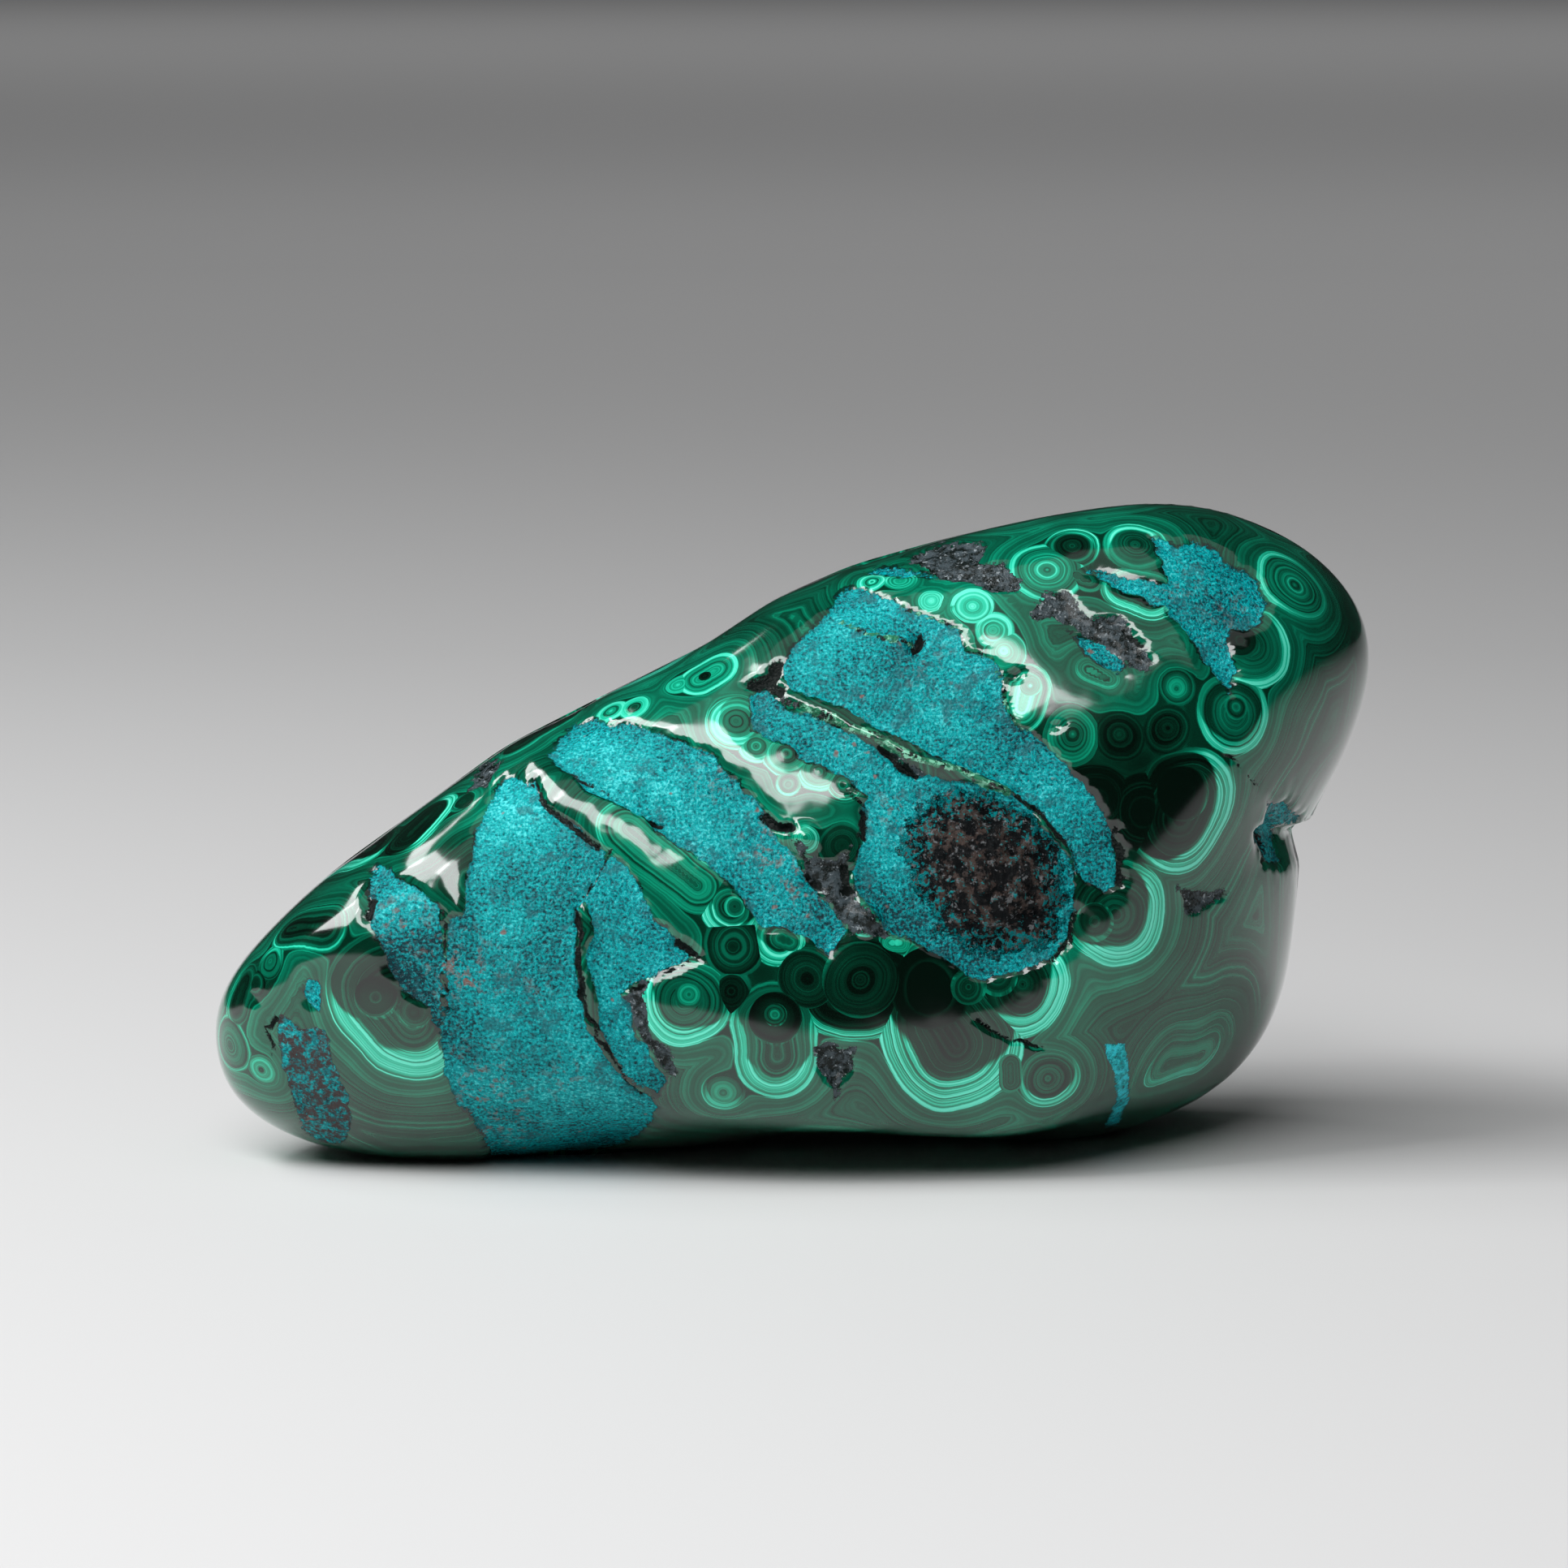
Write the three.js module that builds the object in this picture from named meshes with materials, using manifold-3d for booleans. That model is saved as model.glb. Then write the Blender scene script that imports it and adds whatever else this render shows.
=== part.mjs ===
import * as THREE from "three";
import { mergeVertices } from "three/addons/utils/BufferGeometryUtils.js";
import Module from "manifold-3d";

// Polished freeform stone of malachite with patches of chrysocolla, resting on its flattened underside
// Millimetres, +Z up, +X along the length to the high end, -Y towards the viewer

// Driving dimensions of the body
const CORE = { x: 1.5, z: 21 }; // where the side outline's radii start
const MIDDLE_TURN = 0.15; // the middle sheet goes back this much per mm to the right
const FRONT = {
  depth: 18.9, girth: 2.1, crown: 2.15, // how far the crown stands out, and how boxy the sections are
  leanX: 9.5, leanZ: -12.8, bendX: 12.9, bendLeft: 0.0136, bendRight: 0.03, // the crown is a bent ridge
};
const BACK = { depth: 18, girth: 2.6, crown: 2.2, leanX: -2, leanZ: -2, bendX: 0, bendLeft: 0, bendRight: 0 };
const LEAN_POWER = 3; // the lean grows towards each crown
const ROLL = 0.1; // the front is raised and the back lowered by this much per mm of depth
const OUTLINE_BLUR = 2.5; // degrees that round the outline's corners
const HEART = new THREE.Vector3(2, 0.3, 20); // every ray to the skin starts here

// Side outline in the middle sheet, x and z, from the low end over the top and back underneath
const OUTLINE = [
  [-42.7, 10.3], [-42.2, 13], [-39.2, 16.5], [-34.3, 21.1], [-27.6, 25.8], [-21.3, 30.4],
  [-13.6, 34.3], [-6.4, 37.8], [-1.5, 41], [4.4, 43.5], [11.6, 45.4], [18.9, 46.9],
  [26.2, 47.9], [31.6, 47.4], [37.2, 45.1], [40.3, 42.7], [42.5, 39.9], [43.4, 37.1],
  [43.2, 33.7], [41.4, 28.5], [38.8, 24], [38, 21.8], [38, 19.1], [37.1, 11.7],
  [35.8, 7.9], [33.3, 4.6], [29.7, 2.3], [24.5, 0.8], [17.6, 0.3], [0.8, 0.9],
  [-7.7, 0.2], [-22.7, -0.6], [-31.7, 0.1], [-37.6, 1.8], [-41.4, 4.6], [-42.4, 7.1],
];

// Low swellings and hollows left by hand polishing
const SWELLINGS = [
  { at: [-26, 16, 16], radius: 11, height: 0.8 },
  { at: [-6, 18, 27], radius: 12, height: -0.9 },
  { at: [12, 20, 17], radius: 12, height: 0.9 },
  { at: [30, 18, 34], radius: 11, height: -0.7 },
  { at: [32, 16, 12], radius: 8, height: 0.5 },
  { at: [19, 9, 1], radius: 8.5, height: 1.1 },
  { at: [20, -12, 33], radius: 10, height: 0.4 },
  { at: [-18, -18, 10], radius: 9, height: 0.4 },
];

// Places on the front are given as the eye sees them from a little above, on a sheet through LOOK
const EYE_DISTANCE = 500;
const EYE_RISE = THREE.MathUtils.degToRad(7.5);
const LOOK = new THREE.Vector3(-0.7, 0, 27.2);

// The softer chrysocolla is worn lower than the malachite, whose shoulders round down to it
const PATCH_DEPTH = 0.3;
const PATCH_EDGE = 1.8;
const SHOULDER_DEPTH = 0.8;
const SHOULDER_WIDTH = 1.7;
const FRONT_PATCHES = [
  [[-31.5, 20.8], [-30, 21.4], [-26.3, 18], [-26.2, 9], [-28.7, 11.6], [-31, 15.7]],
  [[-21, 28], [-13.9, 22.4], [-15.5, 18.8], [-15.4, 9.3], [-10.2, 3], [-12.3, 0.2], [-22.2, 0],
    [-24.9, 3.4], [-25.7, 17.3], [-23.7, 23.7]],
  [[-13.4, 22], [-7.2, 14.4], [-12, 12.1], [-9.5, 5], [-11.4, 4.6], [-15, 10.5], [-15.5, 18.6]],
  [[-18.2, 29.6], [-15.1, 32.3], [-11.1, 31.6], [-5.9, 29.4], [-2, 25.2], [4.1, 16.4], [2.7, 14.4],
    [-2.2, 16.5], [-12.3, 25.6]],
  [[-2.5, 34.7], [10.4, 27.1], [6.8, 26.1], [-3, 31.4]],
  [[-0.8, 36.5], [2, 33.5], [13.2, 28], [17.4, 25.8], [23.2, 19], [24.3, 21.4], [22.1, 26.5],
    [16.3, 31.7], [15.2, 36], [12.2, 38.8], [4, 42.1]],
  [[9.9, 27.9], [16.4, 26.4], [20.7, 21.7], [20.6, 15.8], [18, 13.6], [13.1, 12.9], [8.7, 15.6],
    [4.6, 19.5], [5.7, 26.2]],
  [[28.7, 44.7], [32.1, 43.9], [35.3, 40.8], [33.7, 38.7], [32.5, 34], [27.7, 40.3], [23.2, 43]],
  [[-38.3, 10], [-35.1, 9.1], [-32.8, 2.4], [-35.5, 0.8]],
];

// The same on the back, x and z as they lie
const BACK_PATCHES = [
  [[-30, 8], [-33, 14], [-27, 21], [-17, 24], [-12, 18], [-16, 9], [-23, 5]],
  [[-4, 30], [3, 36], [14, 37], [19, 31], [13, 25], [4, 24]],
  [[2, 8], [0, 15], [8, 20], [17, 18], [20, 10], [11, 5]],
  [[27, 24], [29, 33], [35, 37], [39, 32], [35, 24]],
];

// Open seams between the patches
const SEAM_DEPTH = 0.55;
const SEAM_HALF_WIDTH = 1.7;
const FRONT_SEAMS = [
  [[-13.6, 22.1], [-15.5, 18.8], [-16, 13.9], [-14.6, 9.5], [-12.2, 4.7]],
  [[-25.9, 17.3], [-26, 10.1]],
  [[-1.4, 26], [2.6, 20.6], [4.2, 19.8], [7.8, 16]],
  [[4.4, 19.5], [5.2, 23.5], [5.5, 26]],
  [[16.4, 26.4], [19.5, 23.8], [21, 21.4]],
  [[-10.7, 12.9], [-10.9, 9.9], [-8.4, 6.1]],
  [[18.4, 40.5], [22.2, 39.3], [26.4, 35.8]],
  [[8.6, 44.1], [13.2, 43.8], [16.8, 42]],
];
const BACK_SEAMS = [
  [[-12, 18], [-6, 22], [-4, 29]],
  [[19, 31], [24, 28], [27, 24]],
];

// Thin hard ridges that stand proud beside the seams
const RIDGE_HEIGHT = 0.4;
const RIDGE_HALF_WIDTH = 1.7;
const FRONT_RIDGES = [
  [[0.5, 33.1], [6.1, 30.9], [10.4, 28.8], [16.1, 26.7]],
  [[7.4, 40.8], [12.2, 38.7], [15.4, 36], [16, 32.4]],
  [[-15, 27], [-8, 20.5], [-3, 15.5]],
];

// Round features of the front: a low dome of copper-brown grains and two small beads
const DOME = { at: [14.2, 20.6], radius: 6, height: 1.5 };
const BEADS = [
  { at: [0.8, 23.2], radius: 1.9, height: 0.7 },
  { at: [5.5, 17.2], radius: 1.9, height: 0.7 },
];

// Pits, where grains have fallen out
const FRONT_PITS = [
  { at: [9.5, 38], radius: 1.1, depth: 0.9 },
  { at: [3.7, 6.6], radius: 1.6, depth: 0.8 },
  { at: [31, 18.5], radius: 1.5, depth: 0.7 },
  { at: [23.6, 5.5], radius: 1.2, depth: 0.5 },
];
const BACK_PITS = [
  { at: [-20, 28], radius: 1.5, depth: 0.8 },
  { at: [22, 20], radius: 1.7, depth: 0.8 },
];
const PIT_FLOOR = 0.3; // share of a pit's radius that is flat

// Notch that runs round the edge under the high end, steep above and sloping below
const NOTCH = {
  line: [[35.4, -4.9, 24.7], [36.9, -1.4, 23.6], [38.4, 3.3, 23.2], [38.5, 7.5, 23.2], [37.4, 11, 23.8]],
  depth: 1.4,
  above: 1.6,
  below: 2.8,
  sharpness: 1.3,
};

// The marks of each side fade out where the skin turns away, between these cosines of the turn
const FADE_OUT = [0.15, 0.4];

// Slab below the ground that the underside is cut with
const GROUND = { length: 120, width: 80, height: 20 };

// Fineness of the faceting, denser on the front
const DETAIL = 21;
const SPREAD = new THREE.Vector3(13.9, 7.9, 9.3);
const FRONT_DENSITY = 0.48;
const OUTLINE_STEPS = 1440;
const LONGEST_RAY = 70;
const RAY_HALVINGS = 40;
const NORMAL_STEP = 0.3;
const SAME_POINT = 1e-5;

const smoothStep = THREE.MathUtils.smoothstep;

// The outline's distance from CORE at even angles, with rounded corners
function outlineRadii() {
  const steps = OUTLINE_STEPS;
  const reach = Math.round((4 * OUTLINE_BLUR * steps) / 360);
  const sharp = [];
  for (let i = 0; i < steps; i++) {
    const angle = (i / steps) * 2 * Math.PI;
    sharp.push(rayToOutline(Math.cos(angle), Math.sin(angle)));
  }
  return sharp.map((_, i) => {
    let sum = 0;
    let weights = 0;
    for (let k = -reach; k <= reach; k++) {
      const weight = Math.exp(-0.5 * ((k * 360) / steps / OUTLINE_BLUR) ** 2);
      sum += weight * sharp[(i + k + steps) % steps];
      weights += weight;
    }
    return sum / weights;
  });
}

function rayToOutline(dx, dz) {
  for (let i = 0; i < OUTLINE.length; i++) {
    const [ax, az] = OUTLINE[i];
    const [bx, bz] = OUTLINE[(i + 1) % OUTLINE.length];
    const fromX = ax - CORE.x;
    const fromZ = az - CORE.z;
    const cross = dx * (bz - az) - dz * (bx - ax);
    const along = (fromX * (bz - az) - fromZ * (bx - ax)) / cross;
    const part = (fromX * dz - fromZ * dx) / cross;
    if (along > 0 && part >= 0 && part <= 1) return along;
  }
  throw new Error("the outline doesn't close");
}

const RADII = outlineRadii();

function radiusAt(angle) {
  const place = ((angle / (2 * Math.PI) + 1) % 1) * RADII.length;
  const low = Math.floor(place) % RADII.length;
  return THREE.MathUtils.lerp(RADII[low], RADII[(low + 1) % RADII.length], place - Math.floor(place));
}

// Below 0 inside the smooth body, 0 on its skin
function level(p) {
  const deep = p.y - MIDDLE_TURN * p.x;
  const height = p.z + ROLL * deep;
  const side = deep < 0 ? FRONT : BACK;
  const w = Math.abs(deep) / side.depth;
  const lean = w ** LEAN_POWER;
  const off = p.x - side.bendX;
  const bend = (off < 0 ? side.bendLeft : side.bendRight) * off ** 2;
  const x = p.x - CORE.x - side.leanX * lean;
  const z = height - CORE.z - (side.leanZ + bend) * lean;
  return (Math.hypot(x, z) / radiusAt(Math.atan2(z, x))) ** side.girth + w ** side.crown - 1;
}

function skinAlong(direction) {
  let near = 0;
  let far = LONGEST_RAY;
  const p = new THREE.Vector3();
  for (let i = 0; i < RAY_HALVINGS; i++) {
    const middle = (near + far) / 2;
    p.copy(HEART).addScaledVector(direction, middle);
    if (level(p) < 0) near = middle;
    else far = middle;
  }
  return p;
}

function normalAt(p) {
  const slope = (axis) => {
    const ahead = p.clone().setComponent(axis, p.getComponent(axis) + NORMAL_STEP);
    const behind = p.clone().setComponent(axis, p.getComponent(axis) - NORMAL_STEP);
    return level(ahead) - level(behind);
  };
  return new THREE.Vector3(slope(0), slope(1), slope(2)).normalize();
}

// Where the eye sees a point, on the upright sheet through LOOK
const SIGHT = new THREE.Vector3(0, Math.cos(EYE_RISE), -Math.sin(EYE_RISE));
const SHEET_UP = new THREE.Vector3(0, Math.sin(EYE_RISE), Math.cos(EYE_RISE));
function seenAt(p) {
  const from = p.clone().sub(LOOK);
  const nearer = EYE_DISTANCE / (EYE_DISTANCE + from.dot(SIGHT));
  return [LOOK.x + from.x * nearer, LOOK.z + from.dot(SHEET_UP) * nearer];
}

function distanceToEdge([x, z], [ax, az], [bx, bz]) {
  const along = ((x - ax) * (bx - ax) + (z - az) * (bz - az)) / ((bx - ax) ** 2 + (bz - az) ** 2);
  const t = THREE.MathUtils.clamp(along, 0, 1);
  return Math.hypot(x - ax - t * (bx - ax), z - az - t * (bz - az));
}

function distanceToLine(at, line) {
  return Math.min(...line.slice(1).map((end, i) => distanceToEdge(at, line[i], end)));
}

// Above 0 inside a closed outline
function depthInside([x, z], outline) {
  let inside = false;
  outline.forEach(([ax, az], i) => {
    const [bx, bz] = outline[(i + 1) % outline.length];
    if (az > z !== bz > z && x < ax + ((z - az) * (bx - ax)) / (bz - az)) inside = !inside;
  });
  const distance = distanceToLine([x, z], [...outline, outline[0]]);
  return inside ? distance : -distance;
}

function fromCentre([x, z], { at, radius }) {
  return Math.hypot(x - at[0], z - at[1]) / radius;
}

function patchRelief(at, patches) {
  const deepest = Math.max(...patches.map((outline) => depthInside(at, outline)));
  const shoulder = SHOULDER_DEPTH * Math.exp(Math.min(0, deepest) / SHOULDER_WIDTH);
  return -shoulder - PATCH_DEPTH * smoothStep(deepest, -PATCH_EDGE / 2, PATCH_EDGE / 2);
}

function lineRelief(at, lines, halfWidth, height) {
  const nearest = Math.min(...lines.map((line) => distanceToLine(at, line)));
  return height * (1 - smoothStep(nearest, 0, halfWidth));
}

function pitRelief(at, pits) {
  return -pits.reduce((sum, pit) => sum + pit.depth * (1 - smoothStep(fromCentre(at, pit), PIT_FLOOR, 1)), 0);
}

function roundRelief(at) {
  const cap = (feature) => feature.height * Math.max(0, 1 - fromCentre(at, feature) ** 2);
  return cap(DOME) + BEADS.reduce((sum, bead) => sum + cap(bead), 0);
}

function frontRelief(p) {
  const at = seenAt(p);
  return (
    patchRelief(at, FRONT_PATCHES) +
    lineRelief(at, FRONT_SEAMS, SEAM_HALF_WIDTH, -SEAM_DEPTH) +
    lineRelief(at, FRONT_RIDGES, RIDGE_HALF_WIDTH, RIDGE_HEIGHT) +
    pitRelief(at, FRONT_PITS) +
    roundRelief(at)
  );
}

function backRelief(p) {
  const at = [p.x, p.z];
  return (
    patchRelief(at, BACK_PATCHES) +
    lineRelief(at, BACK_SEAMS, SEAM_HALF_WIDTH, -SEAM_DEPTH) +
    pitRelief(at, BACK_PITS)
  );
}

function swellingRelief(p) {
  return SWELLINGS.reduce((sum, { at, radius, height }) => {
    const apart = Math.hypot(p.x - at[0], p.y - at[1], p.z - at[2]) / radius;
    return sum + height * Math.exp(-(apart ** 2));
  }, 0);
}

function notchRelief(p) {
  const closest = new THREE.Vector3();
  const nearest = { distance: Infinity, isAbove: false };
  NOTCH.line.slice(1).forEach((end, i) => {
    const edge = new THREE.Line3(new THREE.Vector3(...NOTCH.line[i]), new THREE.Vector3(...end));
    const distance = edge.closestPointToPoint(p, true, closest).distanceTo(p);
    if (distance < nearest.distance) Object.assign(nearest, { distance, isAbove: p.z > closest.z });
  });
  const apart = nearest.distance / (nearest.isAbove ? NOTCH.above : NOTCH.below);
  return -NOTCH.depth * Math.max(0, 1 - apart) ** NOTCH.sharpness;
}

// How far a point of the skin is raised, or sunk below 0
function relief(p, normal) {
  const frontShare = smoothStep(-normal.dot(SIGHT), ...FADE_OUT);
  const backShare = smoothStep(normal.y, ...FADE_OUT);
  let sum = swellingRelief(p) + notchRelief(p);
  if (frontShare > 0) sum += frontShare * frontRelief(p);
  if (backShare > 0) sum += backShare * backRelief(p);
  return sum;
}

// A ball of even triangles, drawn out to the stone's skin and then raised and sunk
function skinGeometry() {
  const ball = new THREE.IcosahedronGeometry(1, DETAIL);
  ball.deleteAttribute("normal");
  ball.deleteAttribute("uv");
  const geometry = mergeVertices(ball, SAME_POINT);
  const position = geometry.getAttribute("position");
  const direction = new THREE.Vector3();
  for (let i = 0; i < position.count; i++) {
    direction.fromBufferAttribute(position, i);
    direction.y -= FRONT_DENSITY;
    const p = skinAlong(direction.multiply(SPREAD).normalize());
    const normal = normalAt(p);
    p.addScaledVector(normal, relief(p, normal));
    position.setXYZ(i, p.x, p.y, p.z);
  }
  return geometry;
}

function toManifold(wasm, geometry) {
  const vertProperties = new Float32Array(geometry.getAttribute("position").array);
  const triVerts = new Uint32Array(geometry.index.array);
  return new wasm.Manifold(new wasm.Mesh({ numProp: 3, vertProperties, triVerts }));
}

// The underside is ground flat where the stone rests
function cutFlat(wasm, geometry) {
  const ground = new THREE.BoxGeometry(GROUND.length, GROUND.width, GROUND.height);
  ground.deleteAttribute("normal");
  ground.deleteAttribute("uv");
  ground.translate(0, 0, -GROUND.height / 2);
  const stone = toManifold(wasm, geometry).subtract(toManifold(wasm, mergeVertices(ground)));
  const mesh = stone.getMesh();
  const flat = new THREE.BufferGeometry();
  flat.setAttribute("position", new THREE.BufferAttribute(mesh.vertProperties, 3));
  flat.setIndex(new THREE.BufferAttribute(mesh.triVerts, 1));
  return flat;
}

const wasm = await Module();
wasm.setup();

const malachite = new THREE.MeshStandardMaterial({ color: 0x0f5f45, roughness: 0.12, metalness: 0 });
const stone = new THREE.Mesh(cutFlat(wasm, skinGeometry()), malachite);
stone.name = "stone";

// The origin is under the middle of the box around the stone
const middle = new THREE.Box3().setFromObject(stone).getCenter(new THREE.Vector3());
stone.position.set(-middle.x, -middle.y, 0);

const model = new THREE.Group();
model.add(stone);

export default model;
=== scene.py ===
import math
import bpy
import numpy as np
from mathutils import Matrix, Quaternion, Vector


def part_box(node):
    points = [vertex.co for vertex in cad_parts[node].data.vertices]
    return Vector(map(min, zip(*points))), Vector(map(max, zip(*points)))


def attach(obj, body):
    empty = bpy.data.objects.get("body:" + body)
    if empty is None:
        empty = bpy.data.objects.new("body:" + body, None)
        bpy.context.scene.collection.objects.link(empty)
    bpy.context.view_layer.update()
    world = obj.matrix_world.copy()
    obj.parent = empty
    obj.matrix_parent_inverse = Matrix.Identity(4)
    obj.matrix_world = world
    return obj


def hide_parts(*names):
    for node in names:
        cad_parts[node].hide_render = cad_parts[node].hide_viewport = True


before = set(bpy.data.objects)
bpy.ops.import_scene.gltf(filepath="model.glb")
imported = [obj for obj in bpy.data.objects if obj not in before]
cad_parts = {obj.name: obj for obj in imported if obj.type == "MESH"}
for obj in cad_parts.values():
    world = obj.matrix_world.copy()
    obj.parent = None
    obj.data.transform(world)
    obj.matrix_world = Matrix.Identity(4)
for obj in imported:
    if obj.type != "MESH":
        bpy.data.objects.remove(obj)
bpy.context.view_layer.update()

mm = 0.001
print("frame loaded")

# The photograph's camera, worked out from the stone's length and from the shadow under it
cameraSpec = {
    "imagePx": 1932,
    "pxPerMm": 16.6,
    "distanceMm": 500.0,
    "riseDeg": 7.5,
    "lookMm": (-0.66, 0.0, 27.2),  # what the middle of the picture looks at
    "sensorMm": 36.0,
}
focalPx = cameraSpec["pxPerMm"] * cameraSpec["distanceMm"]
rise = math.radians(cameraSpec["riseDeg"])
lookMm = np.array(cameraSpec["lookMm"])
sightDir = np.array([0.0, math.cos(rise), -math.sin(rise)])
sheetUp = np.array([0.0, math.sin(rise), math.cos(rise)])
eyeMm = lookMm - sightDir * cameraSpec["distanceMm"]
halfPx = cameraSpec["imagePx"] / 2

# The smooth body: a side outline that shrinks towards a front and a back crown
bodySpec = {
    "core": (1.5, 21.0),
    "middleTurn": 0.15,  # the middle sheet goes back this much per mm to the right
    "roll": 0.1,  # the front is raised by this much per mm of depth
    "leanPower": 3.0,
    "outlineBlurDeg": 2.5,
    "heart": (2.0, 0.3, 20.0),
    "front": {"depth": 18.9, "girth": 2.1, "crown": 2.15, "leanX": 9.5, "leanZ": -12.8,
              "bendX": 12.9, "bendLeft": 0.0136, "bendRight": 0.03},
    "back": {"depth": 18.0, "girth": 2.6, "crown": 2.2, "leanX": -2.0, "leanZ": -2.0,
             "bendX": 0.0, "bendLeft": 0.0, "bendRight": 0.0},
    "outline": [
        (-42.7, 10.3), (-42.2, 13), (-39.2, 16.5), (-34.3, 21.1), (-27.6, 25.8), (-21.3, 30.4),
        (-13.6, 34.3), (-6.4, 37.8), (-1.5, 41), (4.4, 43.5), (11.6, 45.4), (18.9, 46.9),
        (26.2, 47.9), (31.6, 47.4), (37.2, 45.1), (40.3, 42.7), (42.5, 39.9), (43.4, 37.1),
        (43.2, 33.7), (41.4, 28.5), (38.8, 24), (38, 21.8), (38, 19.1), (37.1, 11.7),
        (35.8, 7.9), (33.3, 4.6), (29.7, 2.3), (24.5, 0.8), (17.6, 0.3), (0.8, 0.9),
        (-7.7, 0.2), (-22.7, -0.6), (-31.7, 0.1), (-37.6, 1.8), (-41.4, 4.6), (-42.4, 7.1),
    ],
    "swellings": [  # x, y, z, radius, height
        (-26, 16, 16, 11, 0.8), (-6, 18, 27, 12, -0.9), (12, 20, 17, 12, 0.9), (30, 18, 34, 11, -0.7),
        (32, 16, 12, 8, 0.5), (19, 9, 1, 8.5, 1.1), (20, -12, 33, 10, 0.4), (-18, -18, 10, 9, 0.4),
    ],
    "notch": {  # runs round the edge under the high end, steep above and sloping below
        "line": [(35.4, -4.9, 24.7), (36.9, -1.4, 23.6), (38.4, 3.3, 23.2), (38.5, 7.5, 23.2),
                 (37.4, 11, 23.8)],
        "depth": 1.4, "above": 0.8, "below": 2.8, "sharpness": 1.3,
    },
}


def smooth(low, high, x):
    t = np.clip((x - low) / (high - low), 0, 1)
    return t * t * (3 - 2 * t)


def outlineRadii(steps=3600):
    angles = np.arange(steps) / steps * 2 * np.pi
    ray = np.stack([np.cos(angles), np.sin(angles)], 1)
    corners = np.array(bodySpec["outline"]) - np.array(bodySpec["core"])
    radii = np.zeros(steps)
    for start, end in zip(corners, np.roll(corners, -1, 0)):
        edge = end - start
        cross = ray[:, 0] * edge[1] - ray[:, 1] * edge[0]
        cross = np.where(np.abs(cross) < 1e-12, 1e-12, cross)
        along = (start[0] * edge[1] - start[1] * edge[0]) / cross
        part = (start[0] * ray[:, 1] - start[1] * ray[:, 0]) / cross
        crosses = (along > 0) & (part >= -1e-9) & (part <= 1 + 1e-9)
        radii = np.where(crosses, np.maximum(radii, along), radii)
    waves = np.fft.rfft(radii)
    blur = np.radians(bodySpec["outlineBlurDeg"])
    return np.fft.irfft(waves * np.exp(-0.5 * (np.arange(len(waves)) * blur) ** 2), steps)


radiusTable = outlineRadii()


def radiusAt(angle):
    place = (angle / (2 * np.pi)) % 1 * len(radiusTable)
    low = np.floor(place).astype(int) % len(radiusTable)
    part = place - np.floor(place)
    return radiusTable[low] * (1 - part) + radiusTable[(low + 1) % len(radiusTable)] * part


def level(p):  # below 0 inside the smooth body
    deep = p[..., 1] - bodySpec["middleTurn"] * p[..., 0]
    height = p[..., 2] + bodySpec["roll"] * deep
    isFront = deep < 0

    def pick(name):
        return np.where(isFront, bodySpec["front"][name], bodySpec["back"][name])

    w = np.abs(deep) / pick("depth")
    lean = w ** bodySpec["leanPower"]
    x = p[..., 0] - bodySpec["core"][0] - pick("leanX") * lean
    off = p[..., 0] - pick("bendX")
    drop = pick("leanZ") + np.where(off < 0, pick("bendLeft"), pick("bendRight")) * off ** 2
    z = height - bodySpec["core"][1] - drop * lean
    return (np.hypot(x, z) / radiusAt(np.arctan2(z, x))) ** pick("girth") + w ** pick("crown") - 1


def normalAt(p, step=0.3):
    slopes = [level(p + step * axis) - level(p - step * axis) for axis in np.eye(3)]
    slopes = np.stack(slopes, -1)
    return slopes / np.linalg.norm(slopes, axis=-1, keepdims=True)


def skinAlong(start, directions, near, far, rounds=40):
    near = np.full(directions.shape[:-1], float(near))
    far = np.full(directions.shape[:-1], float(far))
    for _ in range(rounds):
        middle = (near + far) / 2
        inside = level(start + middle[..., None] * directions) < 0
        near = np.where(inside, middle, near)
        far = np.where(inside, far, middle)
    return start + near[..., None] * directions


def toPhoto(p):  # the pixel of the photograph where a point shows
    sight = p - eyeMm
    away = sight @ sightDir
    across = halfPx + focalPx * sight[..., 0] / away
    down = halfPx - focalPx * (sight @ sheetUp) / away
    return np.stack([across, down], -1)


def onStone(x, y):  # the point of the smooth body seen at a pixel of the photograph
    ray = np.array([(x - halfPx) / focalPx, 0, 0]) + sheetUp * (halfPx - y) / focalPx + sightDir
    reach = np.arange(440.0, 560.0, 0.25)
    inside = level(eyeMm + reach[:, None] * ray) < 0
    if inside.any():
        first = reach[inside.argmax()]
        low, high = first - 0.25, first
        for _ in range(20):
            middle = (low + high) / 2
            if level(eyeMm + middle * ray) < 0:
                high = middle
            else:
                low = middle
        return eyeMm + high * ray
    return eyeMm + cameraSpec["distanceMm"] * ray


# Mesh fineness, denser on the side that the photograph shows
meshSpec = {
    "cutsPerEdge": 100,  # the most that subdivide takes
    "quickCuts": 70,
    "spread": (13.9, 7.9, 9.3),
    "frontDensity": 0.6,
    "longestRayMm": 70,
}


def makeBall():
    bpy.ops.object.select_all(action="DESELECT")
    bpy.ops.mesh.primitive_cube_add(size=2, location=(0, 0, 0))
    ball = bpy.context.object
    ball.name = "stoneSurface"
    bpy.ops.object.mode_set(mode="EDIT")
    bpy.ops.mesh.select_all(action="SELECT")
    cuts = meshSpec["cutsPerEdge"]
    bpy.ops.mesh.subdivide(number_cuts=cuts)
    bpy.ops.transform.tosphere(value=1)
    bpy.ops.object.mode_set(mode="OBJECT")
    return ball


def readPoints(piece):
    flat = np.empty(len(piece.data.vertices) * 3)
    piece.data.vertices.foreach_get("co", flat)
    return flat.reshape(-1, 3)


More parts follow.
